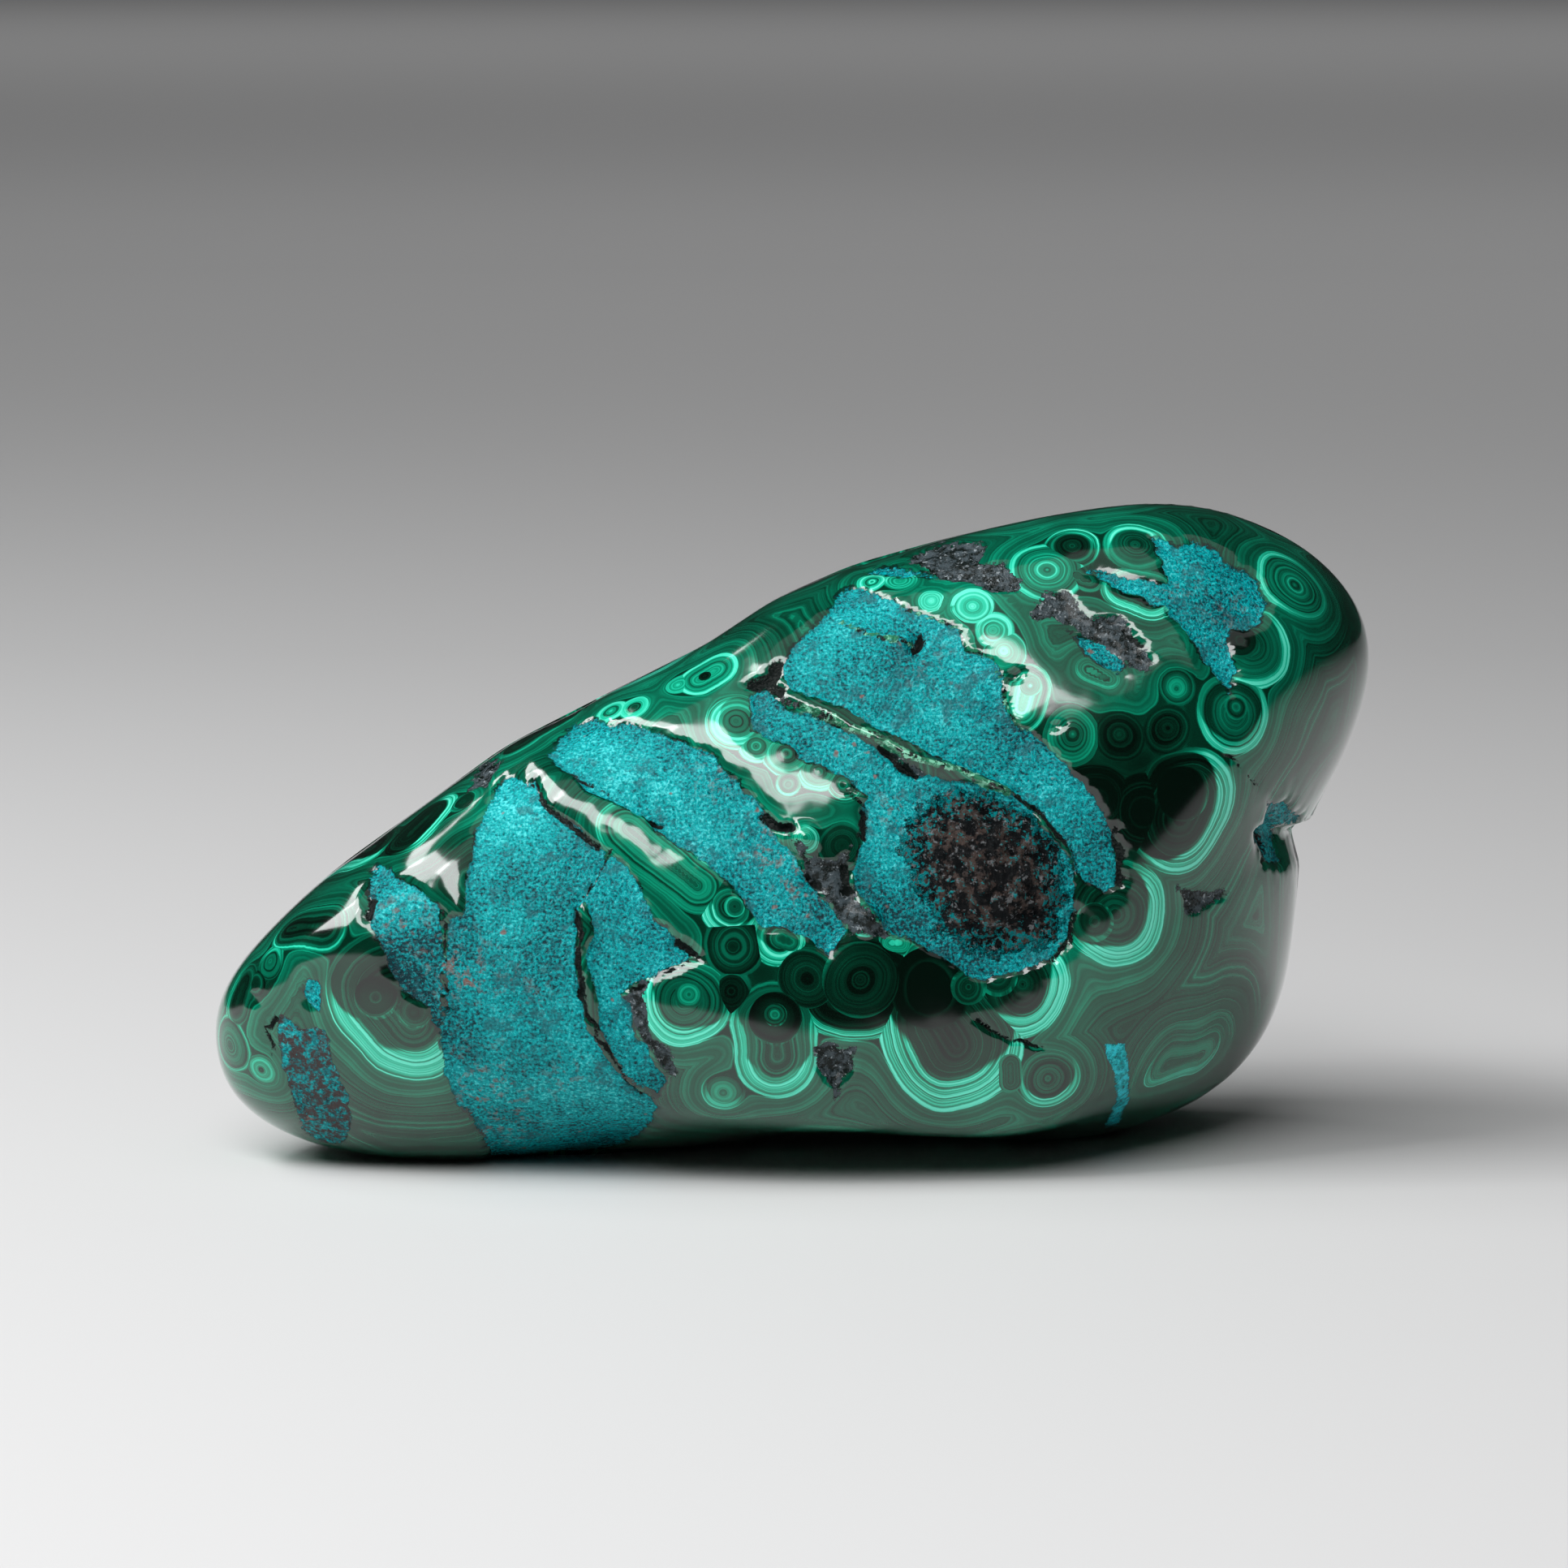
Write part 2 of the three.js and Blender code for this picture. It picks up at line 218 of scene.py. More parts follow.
stone = makeBall()
directions = readPoints(stone)
directions /= np.linalg.norm(directions, axis=1, keepdims=True)
directions[:, 1] -= meshSpec["frontDensity"]
directions *= np.array(meshSpec["spread"])
directions /= np.linalg.norm(directions, axis=1, keepdims=True)
skin = skinAlong(np.array(bodySpec["heart"]), directions, 0, meshSpec["longestRayMm"])
skinNormal = normalAt(skin)
seen = toPhoto(skin)
towardsEye = eyeMm - skin
towardsEye /= np.linalg.norm(towardsEye, axis=1, keepdims=True)
facing = (skinNormal * towardsEye).sum(1)
frontShare = smooth(-0.02, 0.12, facing)
backShare = smooth(0.1, 0.3, skinNormal[:, 1]) * (1 - frontShare)
print("skin drawn,", len(skin), "points")


def noiseAt(points, size, seed):  # smooth random values from -1 to 1, with features of about this size
    rng = np.random.default_rng(seed)
    table = rng.uniform(-1, 1, 4096)
    cell = points / size
    low = np.floor(cell).astype(int)
    part = cell - low
    part = part * part * (3 - 2 * part)
    total = np.zeros(len(points))
    for corner in np.ndindex(*(2,) * points.shape[1]):
        place = low + np.array(corner)
        key = place[:, 0] * 73856093
        weight = np.where(corner[0], part[:, 0], 1 - part[:, 0])
        for axis, prime in zip(range(1, points.shape[1]), (19349663, 83492791)):
            key = key ^ (place[:, axis] * prime)
            weight = weight * np.where(corner[axis], part[:, axis], 1 - part[:, axis])
        total += weight * table[key % 4096]
    return total


def lineDistance(points, line):
    line = np.array(line, float)
    best = np.full(len(points), 1e9)
    for start, end in zip(line[:-1], line[1:]):
        edge = end - start
        t = np.clip((points - start) @ edge / (edge @ edge), 0, 1)
        best = np.minimum(best, np.linalg.norm(points - start - t[:, None] * edge, axis=1))
    return best


def depthInside(points, outline):  # above 0 inside a closed outline
    closed = list(outline) + [outline[0]]
    inside = np.zeros(len(points), bool)
    for (ax, ay), (bx, by) in zip(closed[:-1], closed[1:]):
        if ay != by:
            crosses = (points[:, 1] < ay) != (points[:, 1] < by)
            inside ^= crosses & (points[:, 0] < ax + (points[:, 1] - ay) * (bx - ax) / (by - ay))
    distance = lineDistance(points, closed)
    return np.where(inside, distance, -distance)


# Patches of chrysocolla on the front, in pixels of the photograph, and on the back, in mm across and up
chrysocollaSpec = {
    "depthMm": 0.25,
    "edgeMm": 0.45,
    "grainMm": 0.07,
    "shoulders": [(0.2, 1.8), (0.12, 0.6)],  # how much the malachite rises past an edge, and over what width
    "front": [
        [(454, 1073), (466, 1059), (480, 1068), (488, 1079), (520, 1096), (541, 1119), (543, 1183),
         (542, 1270), (531, 1267), (527, 1244), (495, 1224), (487, 1206), (474, 1185), (462, 1157),
         (450, 1130), (451, 1106)],
        [(623, 952), (634, 952), (649, 966), (655, 959), (668, 987), (690, 1005), (712, 1018), (731, 1037),
         (746, 1046), (736, 1080), (719, 1106), (710, 1135), (709, 1187), (715, 1221), (721, 1263),
         (748, 1306), (775, 1341), (796, 1352), (807, 1367), (803, 1386), (773, 1414), (700, 1428),
         (608, 1432), (592, 1399), (580, 1375), (563, 1361), (553, 1343), (545, 1310), (543, 1277),
         (551, 1250), (549, 1180), (551, 1130), (571, 1127), (573, 1094), (584, 1024), (600, 983)],
        [(754, 1053), (766, 1059), (796, 1106), (809, 1132), (829, 1154), (857, 1178), (837, 1189),
         (803, 1204), (778, 1216), (766, 1226), (774, 1237), (777, 1258), (783, 1281), (797, 1290),
         (802, 1306), (820, 1334), (811, 1351), (788, 1341), (768, 1323), (744, 1280), (736, 1262),
         (738, 1235), (733, 1210), (724, 1195), (721, 1176), (731, 1150), (727, 1128), (719, 1108),
         (737, 1082)],
        [(675, 926), (688, 906), (706, 888), (726, 882), (757, 890), (772, 886), (793, 893), (823, 906),
         (849, 916), (879, 929), (895, 949), (930, 982), (943, 1000), (948, 1018), (966, 1039),
         (984, 1064), (999, 1090), (1017, 1110), (1045, 1146), (1022, 1179), (992, 1153), (966, 1143),
         (941, 1143), (930, 1128), (915, 1102), (890, 1079), (844, 1044), (826, 1036), (798, 1010),
         (772, 993), (749, 982), (721, 970), (706, 954), (686, 939)],
        [(936, 842), (949, 850), (968, 872), (1004, 878), (1037, 897), (1075, 918), (1108, 941),
         (1128, 960), (1150, 968), (1090, 985), (1070, 979), (1053, 965), (1029, 951), (1010, 940),
         (985, 932), (971, 916), (949, 908), (927, 897), (922, 858)],
        [(963, 812), (966, 834), (971, 845), (990, 853), (1010, 861), (1043, 872), (1078, 894), (1108, 908),
         (1136, 921), (1163, 938), (1196, 952), (1224, 963), (1250, 977), (1265, 989), (1283, 1002),
         (1301, 1022), (1319, 1048), (1326, 1063), (1334, 1084), (1349, 1094), (1362, 1102),
         (1377, 1094), (1380, 1063), (1372, 1028), (1359, 1002), (1344, 977), (1322, 954), (1303, 932),
         (1284, 913), (1259, 899), (1248, 891), (1240, 872), (1233, 856), (1235, 836), (1229, 820),
         (1210, 806), (1191, 803), (1180, 773), (1158, 765), (1136, 754), (1103, 738), (1065, 721),
         (1043, 718), (1026, 735), (1021, 749), (1004, 765), (982, 790)],
        [(1142, 954), (1163, 961), (1199, 964), (1224, 969), (1250, 979), (1321, 1058), (1324, 1094),
         (1324, 1125), (1319, 1155), (1301, 1178), (1275, 1191), (1245, 1201), (1214, 1209),
         (1194, 1204), (1173, 1188), (1163, 1181), (1140, 1170), (1122, 1158), (1104, 1153),
         (1091, 1145), (1084, 1130), (1069, 1112), (1053, 1094), (1051, 1076), (1058, 1058),
         (1066, 1028), (1061, 1007), (1061, 992), (1071, 982)],
    ],
    "frontTorn": [
        [(1420, 657), (1437, 660), (1454, 675), (1466, 663), (1480, 666), (1500, 675), (1509, 689),
         (1532, 700), (1549, 709), (1558, 726), (1563, 741), (1555, 772), (1537, 775), (1523, 772),
         (1512, 787), (1520, 807), (1523, 827), (1516, 853), (1503, 841), (1489, 818), (1474, 792),
         (1454, 767), (1437, 749), (1408, 735), (1380, 723), (1357, 715), (1337, 703), (1362, 703),
         (1403, 712), (1437, 718), (1437, 695), (1426, 675)],
        [(1308, 769), (1334, 784), (1365, 801), (1388, 821), (1380, 830), (1357, 821), (1334, 801)],
        [(1065, 697), (1119, 694), (1163, 705), (1147, 710), (1092, 705)],
        [(375, 1207), (393, 1213), (390, 1250), (378, 1238)],
        [(1565, 990), (1590, 992), (1605, 1010), (1588, 1025), (1583, 1060), (1565, 1065), (1562, 1020)],
    ],
    "back": [
        [(-30, 8), (-33, 14), (-27, 21), (-17, 24), (-12, 18), (-16, 9), (-23, 5)],
        [(-4, 30), (3, 36), (14, 37), (19, 31), (13, 25), (4, 24)],
        [(2, 8), (0, 15), (8, 20), (17, 18), (20, 10), (11, 5)],
        [(27, 24), (29, 33), (35, 37), (39, 32), (35, 24)],
    ],
}

# Bright turquoise slivers and brown, teal-flecked areas on the front
sliverSpec = {
    "brownDepthMm": 0.12,
    "bright": [[(1361, 1286), (1386, 1286), (1391, 1322), (1391, 1355), (1377, 1383), (1361, 1388),
                (1377, 1355), (1374, 1322), (1363, 1302)]],
    "brown": [[(342, 1252), (352, 1254), (362, 1265), (378, 1270), (395, 1267), (403, 1285), (413, 1321),
               (429, 1351), (432, 1377), (426, 1410), (388, 1405), (370, 1384), (357, 1346), (347, 1310),
               (343, 1282)]],
}

# The low dome of brown-black grains
domeSpec = {
    "heightMm": 1.7,
    "lumpMm": 0.28,
    "outline": [(1117, 1017), (1122, 1007), (1135, 997), (1153, 984), (1178, 974), (1209, 974), (1237, 987),
                (1265, 1002), (1288, 1028), (1306, 1053), (1313, 1084), (1311, 1125), (1296, 1153),
                (1270, 1170), (1237, 1176), (1199, 1170), (1173, 1155), (1148, 1130), (1122, 1074),
                (1114, 1043)],
}

# Dark grey matrix between the malachite and the chrysocolla
matrixSpec = {
    "depthMm": 0.25,
    "front": [
        [(1282, 735), (1305, 729), (1319, 735), (1328, 752), (1345, 758), (1377, 758), (1394, 778),
         (1403, 795), (1426, 818), (1408, 827), (1351, 795), (1322, 772), (1299, 764), (1271, 761)],
        [(1120, 685), (1150, 672), (1196, 666), (1216, 672), (1207, 695), (1233, 692), (1256, 715),
         (1259, 732), (1225, 729), (1199, 718), (1164, 712)],
        [(1005, 1289), (1055, 1289), (1050, 1316), (1030, 1355), (1022, 1327), (1005, 1316)],
        [(1449, 1094), (1516, 1100), (1466, 1128)],
        [(799, 1204), (792, 1222), (796, 1254), (801, 1280), (820, 1293), (837, 1317), (829, 1334),
         (779, 1258), (768, 1230)],
        [(953, 1013), (970, 1020), (989, 1067), (996, 1091), (1016, 1105), (1035, 1127), (1050, 1149),
         (1098, 1154), (1062, 1112), (1040, 1080), (1050, 1040), (1030, 1060), (1000, 1055)],
        [(590, 940), (618, 930), (600, 965), (575, 975)],
        [(958, 858), (985, 862), (1002, 876), (975, 873)],
        [(1075, 925), (1100, 925), (1140, 955), (1128, 962), (1100, 940)],
    ],
    "back": [
        [(-12, 18), (-8, 20), (-3, 29), (-6, 27)],
        [(19, 31), (24, 29), (28, 25), (26, 24), (21, 28)],
    ],
}

# Open cracks: a half width in mm, then the pixels of the photograph that it runs through
crackSpec = {
    "depthMm": 0.6,
    "shakePx": 4.5,
    "front": [
        (0.13, [(752, 1050), (736, 1080), (719, 1106), (711, 1120)]),
        (0.24, [(711, 1120), (713, 1150), (710, 1170), (714, 1200), (718, 1225)]),
        (0.15, [(718, 1225), (730, 1268), (752, 1302), (775, 1340), (790, 1352)]),
        (0.14, [(541, 1119), (547, 1140), (545, 1180), (547, 1205), (549, 1250)]), (0.22, [(545, 1165),
        (546, 1185)]), (0.22, [(451, 1098), (453, 1112), (452, 1130)]), (0.16, [(655, 962), (672, 990),
        (700, 1012), (735, 1042)]), (0.14, [(1250, 979), (1283, 1002), (1301, 1022), (1319, 1048),
        (1326, 1063)]), (0.26, [(958, 812), (950, 832), (936, 842)]), (0.3, [(925, 845), (942, 838),
        (962, 846)]), (0.16, [(985, 866), (1010, 878), (1037, 893)]), (0.26, [(1085, 918), (1105, 936),
        (1130, 954)]), (0.26, [(1130, 778), (1136, 788), (1128, 796)]), (0.24, [(1374, 1020),
        (1384, 1060), (1376, 1088)]), (0.26, [(857, 1178), (845, 1168), (835, 1160)]),
        (0.16, [(700, 946), (745, 975)]), (0.3, [(945, 1003), (955, 1015), (975, 1020)]),
        (0.24, [(996, 1080), (1010, 1095)]), (0.13, [(1205, 1256), (1222, 1268), (1250, 1284),
        (1285, 1292)]), (0.3, [(1040, 1072), (1046, 1098)]), (0.14, [(775, 1222), (800, 1208),
        (850, 1183)]), (0.18, [(1040, 968), (1062, 990), (1066, 1030)]), (0.14, [(340, 1255),
        (328, 1270), (336, 1300)]), (0.14, [(1324, 1125), (1322, 1160), (1300, 1182)]),
        (0.32, [(1570, 1022), (1566, 1042), (1563, 1064)]), (0.1, [(1516, 930), (1545, 962),
        (1552, 970)]), (0.14, [(800, 1010), (815, 1016)]), (0.16, [(1375, 762), (1390, 780), (1403, 796)]),
    ],
}

# Thin hard malachite ridges along the patches, with their half widths in mm and heights in mm
ridgeSpec = {
    "shakePx": 5,
    "front": [
        (0.28, 0.3, [(985, 868), (1037, 890), (1078, 905), (1110, 925), (1150, 940), (1200, 958),
        (1245, 975)]), (0.2, 0.25, [(1031, 760), (1075, 778), (1127, 790)]),
        (0.16, 0.3, [(1100, 740), (1150, 763), (1180, 776), (1195, 800), (1222, 812), (1234, 836),
                     (1238, 870), (1256, 896)]),
    ],
}

# Nodules of banded malachite on the front, in pixels of the photograph: x, y, radius, tone inside, width of
# the bright crescent, the side where it is widest in degrees (0 right, 90 up, None all round), and for a
# drawn-out nodule the x and y of its other end
frontNodules = [
    (480, 1225, 78, 0.30, 44, 295, 505, 1262), (398, 1080, 46, 0.18, 24, 240, 455, 1045),
    (355, 1146, 30, 0.24, 6, 270, 400, 1143), (330, 1188, 22, 0.35, 8, 90), (314, 1214, 18, 0.10, 5, 170),
    (300, 1208, 28, 0.20, 10, 180, 290, 1240), (318, 1318, 24, 0.56, 0, None),
    (285, 1292, 40, 0.33, 5, None), (500, 1030, 34, 0.14, 14, 350, 533, 1000),
    (572, 985, 18, 0.14, 7, 180), (640, 915, 30, 0.14, 12, 300, 690, 885), (752, 874, 20, 0.66, 4, None),
    (782, 868, 20, 0.55, 6, None), (836, 842, 18, 0.50, 5, None),
    (862, 836, 28, 0.60, 6, None, 884, 824), (905, 887, 37, 0.50, 22, 225), (932, 918, 20, 0.55, 8, 250),
    (967, 928, 28, 0.48, 10, 215), (970, 966, 15, 0.45, 5, 250), (1008, 952, 24, 0.46, 9, 235),
    (1040, 966, 18, 0.40, 7, 250), (775, 1022, 34, 0.44, 6, 120, 860, 1092),
    (898, 1117, 33, 0.42, 20, 240), (905, 1168, 34, 0.26, 4, None), (965, 1157, 30, 0.50, 20, 265),
    (990, 1033, 21, 0.62, 8, 0), (1067, 1132, 22, 0.50, 10, 270),
    (1098, 1160, 12, 0.62, 3, None, 1110, 1163), (1140, 1180, 20, 0.55, 4, 240),
    (1038, 1040, 30, 0.15, 3, None), (1025, 1078, 18, 0.17, 3, None), (1072, 714, 17, 0.66, 4, None),
    (1108, 712, 20, 0.55, 7, 100), (1145, 738, 15, 0.68, 3, None), (1200, 750, 26, 0.68, 6, 90),
    (1222, 778, 24, 0.62, 8, 60), (1240, 802, 24, 0.64, 5, 30), (1265, 848, 28, 0.66, 5, 0, 1260, 872),
    (1288, 702, 44, 0.50, 5, None), (1400, 670, 40, 0.30, 14, 90), (1325, 674, 34, 0.26, 11, 70),
    (1322, 705, 14, 0.40, 5, 260, 1346, 716), (1390, 724, 30, 0.36, 17, 268, 1412, 732),
    (1342, 826, 12, 0.46, 4, 260, 1366, 838), (1597, 720, 50, 0.44, 6, 170),
    (1540, 796, 55, 0.38, 15, 320), (1522, 876, 50, 0.40, 18, 290), (1447, 852, 22, 0.36, 3, None),
    (1436, 897, 32, 0.14, 2, 320), (1470, 985, 64, 0.16, 30, 335, 1452, 1010),
    (1372, 1128, 66, 0.22, 27, 320), (1322, 905, 36, 0.38, 0, None), (1378, 908, 32, 0.14, 1, None),
    (1350, 988, 44, 0.12, 2, None), (1405, 1000, 44, 0.08, 2, None), (1333, 1100, 14, 0.46, 3, None),
    (843, 1232, 52, 0.36, 22, 235), (903, 1222, 22, 0.12, 7, 90),
    (953, 1262, 50, 0.34, 27, 268, 958, 1300), (1045, 1220, 62, 0.12, 13, 268, 1060, 1222),
    (1162, 1262, 78, 0.28, 46, 266, 1180, 1290), (1262, 1212, 62, 0.18, 30, 310),
    (1000, 1206, 40, 0.20, 2, None), (1225, 1268, 14, 0.6, 6, 60, 1232, 1290),
    (890, 1345, 24, 0.42, 11, 255), (1440, 1312, 34, 0.40, 14, 285, 1480, 1298),
    (1290, 1330, 34, 0.40, 14, 280),
]

# Smaller nodules inside those, given in the same way
frontCores = [
    (462, 1228, 27, 0.24, 4, 270), (507, 1248, 21, 0.22, 4, 270), (783, 868, 9, 0.10, 2, None),
    (905, 888, 17, 0.40, 3, 225), (903, 1117, 13, 0.36, 3, 240), (972, 1160, 11, 0.34, 3, None, 964, 1158),
    (848, 1226, 17, 0.48, 0, None), (953, 1253, 32, 0.08, 2, None), (955, 1250, 14, 0.40, 0, None),
    (1058, 1205, 46, 0.18, 3, None), (998, 1205, 36, 0.17, 3, None), (1150, 1216, 50, 0.10, 3, None),
    (1192, 1215, 22, 0.22, 3, None), (1232, 1205, 24, 0.14, 3, None), (1460, 975, 34, 0.03, 3, None),
    (1350, 1135, 24, 0.10, 3, None), (1528, 790, 24, 0.06, 4, None), (1524, 868, 16, 0.30, 3, None),
    (1597, 722, 15, 0.40, 3, None), (1244, 1312, 14, 0.24, 4, None, 1243, 1334),
    (1290, 705, 26, 0.64, 2, None), (1222, 780, 11, 0.48, 2, 60), (1268, 845, 13, 0.74, 0, None),
    (868, 832, 8, 0.15, 2, None),
]

# Soft changes of tone over the front: x, y, radius in pixels, change. They act on the malachite and on the
# chrysocolla. The spots that lighten the chrysocolla's upper ends are painted sheen of the light on its rough
# grain, and they lighten the malachite beside it too; the rest make the stone lighter or darker there
frontToneAndSheen = [
    (1360, 900, 90, -0.04), (1380, 1000, 80, -0.06), (1200, 740, 70, 0.12), (1120, 1230, 120, -0.08),
    (470, 1200, 40, -0.15), (520, 1245, 25, -0.12), (440, 1020, 120, -0.06), (495, 1110, 40, 0.12),
    (630, 1000, 55, 0.13), (760, 925, 55, 0.08), (850, 1010, 55, 0.08), (1095, 1040, 45, 0.11),
    (1500, 1180, 110, 0.05),
]

# Where the chrysocolla turns brown: x, y, radius in pixels, amount
frontRust = [
    (560, 1190, 40, 0.8), (590, 1340, 50, 0.6), (490, 1130, 35, 0.6), (620, 1390, 40, 0.4),
    (640, 1220, 40, 0.3), (950, 1040, 35, 0.7), (985, 1090, 30, 0.6), (890, 950, 35, 0.5),
    (1050, 890, 30, 0.3), (1100, 1000, 30, 0.4), (1150, 830, 40, 0.3), (700, 1330, 30, 0.4),
    (1450, 720, 30, 0.3), (1520, 760, 30, 0.4),
]

# Nodules on the sides that the photograph doesn't show are scattered at random, always in the same way
scatterSpec = {
    "seed": 11, "tries": 2600, "radiusMm": (1.6, 5.4), "overlap": 0.8, "rimShare": 0.55, "coreShare": 0.4,
    "drawnBelowPx": 600,  # the front below this row of the photograph has its nodules listed one by one
}


def frontDepth(outlines, ragged=0.0, seed=0):  # mm inside the nearest outline drawn on the photograph
    depth = np.full(len(skin), -1e3)
    for outline in outlines:
        depth = np.maximum(depth, depthInside(seen, outline) / cameraSpec["pxPerMm"])
    depth += ragged * (noiseAt(skin, 0.9, seed) + 0.6 * noiseAt(skin, 0.45, seed + 1))
    return np.where(facing > -0.02, depth, -5)


def backDepth(outlines, ragged=0.0, seed=0):
    flat = skin[:, [0, 2]] + 0.9 * np.stack([noiseAt(skin, 2.2, seed), noiseAt(skin, 2.2, seed + 3)], 1)
    depth = np.max([depthInside(flat, outline) for outline in outlines], axis=0)
    depth += ragged * (noiseAt(skin, 0.9, seed) + 0.6 * noiseAt(skin, 0.45, seed + 1))
    return np.where(backShare > 0.3, depth, -5)


def crackDepth(cracks):  # mm inside the nearest crack's edge
    depth = np.full(len(skin), -5.0)
    shaken = seen + crackSpec["shakePx"] * np.stack([noiseAt(skin, 1.1, 71), noiseAt(skin, 1.1, 72)], 1)
    gape = 1 + 0.8 * noiseAt(skin, 1.4, 73) + 0.4 * noiseAt(skin, 0.6, 74)
    for halfWidth, line in cracks:
        depth = np.maximum(depth, halfWidth * gape - lineDistance(shaken, line) / cameraSpec["pxPerMm"])
    return np.where(facing > 0, depth, -5)


patch = frontDepth(chrysocollaSpec["front"], ragged=0.17, seed=20)
patch = np.maximum(patch, backDepth(chrysocollaSpec["back"], ragged=0.4, seed=30))
patch = np.maximum(patch, frontDepth(chrysocollaSpec["frontTorn"], ragged=0.28, seed=24))
matrix = frontDepth(matrixSpec["front"], ragged=0.2, seed=40)
matrix = np.maximum(matrix, backDepth(matrixSpec["back"], ragged=0.2, seed=50))
dome = frontDepth([domeSpec["outline"]], ragged=0.25, seed=60)
bright = frontDepth(sliverSpec["bright"], ragged=0.08, seed=64)
brown = frontDepth(sliverSpec["brown"], ragged=0.2, seed=66)
crack = crackDepth(crackSpec["front"])
ridge = np.full(len(skin), -5.0)
crooked = seen + ridgeSpec["shakePx"] * np.stack([noiseAt(skin, 1.5, 80), noiseAt(skin, 1.5, 81)], 1)
for halfWidth, _, line in ridgeSpec["front"]:
    wide = halfWidth * (1 + 0.5 * noiseAt(skin, 0.9, 82))
    ridge = np.maximum(ridge, wide - lineDistance(crooked, line) / cameraSpec["pxPerMm"])
ridge = np.where(facing > 0, ridge, -5)


def softSpots(spots):
    total = np.zeros(len(skin))
    for x, y, radiusPx, amount in spots:
        apart = np.linalg.norm(seen - np.array([x, y]), axis=1) / radiusPx
        total += amount * np.exp(-apart ** 2) * frontShare
    return total


# Painted sheen on the chrysocolla and the malachite beside it, together with other changes of tone
toneAndSheen = softSpots(frontToneAndSheen)
rust = softSpots(frontRust)
print("marks measured")

# Round raised beads and sunk pits: x, y, radius in pixels, height in mm
bumpSpec = {
    "front": [(990, 1033, 24, 0.9), (1067, 1132, 24, 0.8), (1250, 832, 9, -0.9), (1128, 790, 12, -0.6),
              (1301, 895, 7, -0.4), (1028, 1318, 22, -0.35), (313, 1232, 8, -0.3)],
}


def notchDepth():
    notch = bodySpec["notch"]
    line = np.array(notch["line"])
    nearest = np.full(len(skin), 1e9)
    width = np.ones(len(skin))
    for start, end in zip(line[:-1], line[1:]):
        edge = end - start
        t = np.clip((skin - start) @ edge / (edge @ edge), 0, 1)
        away = skin - start - t[:, None] * edge
        distance = np.linalg.norm(away, axis=1)
        nearer = distance < nearest
        nearest[nearer] = distance[nearer]
        width[nearer] = np.where(away[nearer, 2] > 0, notch["above"], notch["below"])
    return notch["depth"] * np.maximum(0, 1 - nearest / width) ** notch["sharpness"]


def raiseAndSink():
    relief = np.zeros(len(skin))
    for x, y, z, radius, height in bodySpec["swellings"]:
        apart = np.linalg.norm(skin - np.array([x, y, z]), axis=1) / radius
        relief += height * np.exp(-apart ** 2)
    relief -= notchDepth()
    edge = chrysocollaSpec["edgeMm"]
    worn = smooth(-edge / 2, edge / 2, patch)
    relief -= chrysocollaSpec["depthMm"] * worn
    relief += chrysocollaSpec["grainMm"] * worn * (noiseAt(skin, 0.7, 90) + 0.7 * noiseAt(skin, 0.35, 91))
    for height, width in chrysocollaSpec["shoulders"]:
        relief -= height * np.exp(np.minimum(0, patch) / width)
    inside = smooth(-0.1, 0.6, dome)
    relief += domeSpec["heightMm"] * smooth(-0.6, 5.5, dome)
    relief += domeSpec["lumpMm"] * inside * (noiseAt(skin, 1.3, 92) + noiseAt(skin, 0.6, 93))
    relief -= matrixSpec["depthMm"] * smooth(-0.1, 0.3, matrix) * (1 + 0.7 * noiseAt(skin, 0.8, 94))
    relief -= sliverSpec["brownDepthMm"] * smooth(-0.1, 0.2, brown) * (1 + noiseAt(skin, 0.6, 95))
    for halfWidth, height, line in ridgeSpec["front"]:
        away = lineDistance(crooked, line) / cameraSpec["pxPerMm"]
        relief += height * frontShare * (1 - smooth(0, halfWidth * 2.2, away))
    relief -= crackSpec["depthMm"] * smooth(-0.12, 0.3, crack) * frontShare
    for x, y, radiusPx, height in bumpSpec["front"]:
        apart = np.linalg.norm(seen - np.array([x, y]), axis=1) / radiusPx
        relief += height * frontShare * np.maximum(0, 1 - apart ** 2)
    return relief


def settle(points):  # flat where it rests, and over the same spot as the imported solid
    points[:, 2] = np.maximum(points[:, 2], 0)
    middle = (points.min(0) + points.max(0)) / 2
    low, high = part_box("stone")
    shift = np.array([(low.x + high.x) / 2 / mm - middle[0], (low.y + high.y) / 2 / mm - middle[1], 0])
    return points + shift, shift


points, shiftMm = settle(skin + raiseAndSink()[:, None] * skinNormal)
stone.data.vertices.foreach_set("co", (points * mm).ravel())


def store(name, values):
    attribute = stone.data.attributes.new(name, "FLOAT_VECTOR", "POINT")
    attribute.data.foreach_set("vector", np.ascontiguousarray(values, dtype=np.float32).ravel())


def raised(place):  # the finished surface's point nearest to a point of the smooth body
    return points[np.argmin(((skin - place) ** 2).sum(1))]


def placeNodules(spots):
    placed = []
    for x, y, radiusPx, tone, rimPx, side, *far in spots:
        first = raised(onStone(x, y))
        last = raised(onStone(*far)) if far else first
        towards = np.zeros(3)
        if side is not None:
            towards = np.array([math.cos(math.radians(side)), 0, 0]) + math.sin(math.radians(side)) * sheetUp
        scale = cameraSpec["pxPerMm"]
        placed.append((first, last, radiusPx / scale, tone, rimPx / scale, towards))
    return placed


frontIsDrawn = (seen[:, 1] > scatterSpec["drawnBelowPx"]) & (facing > 0)


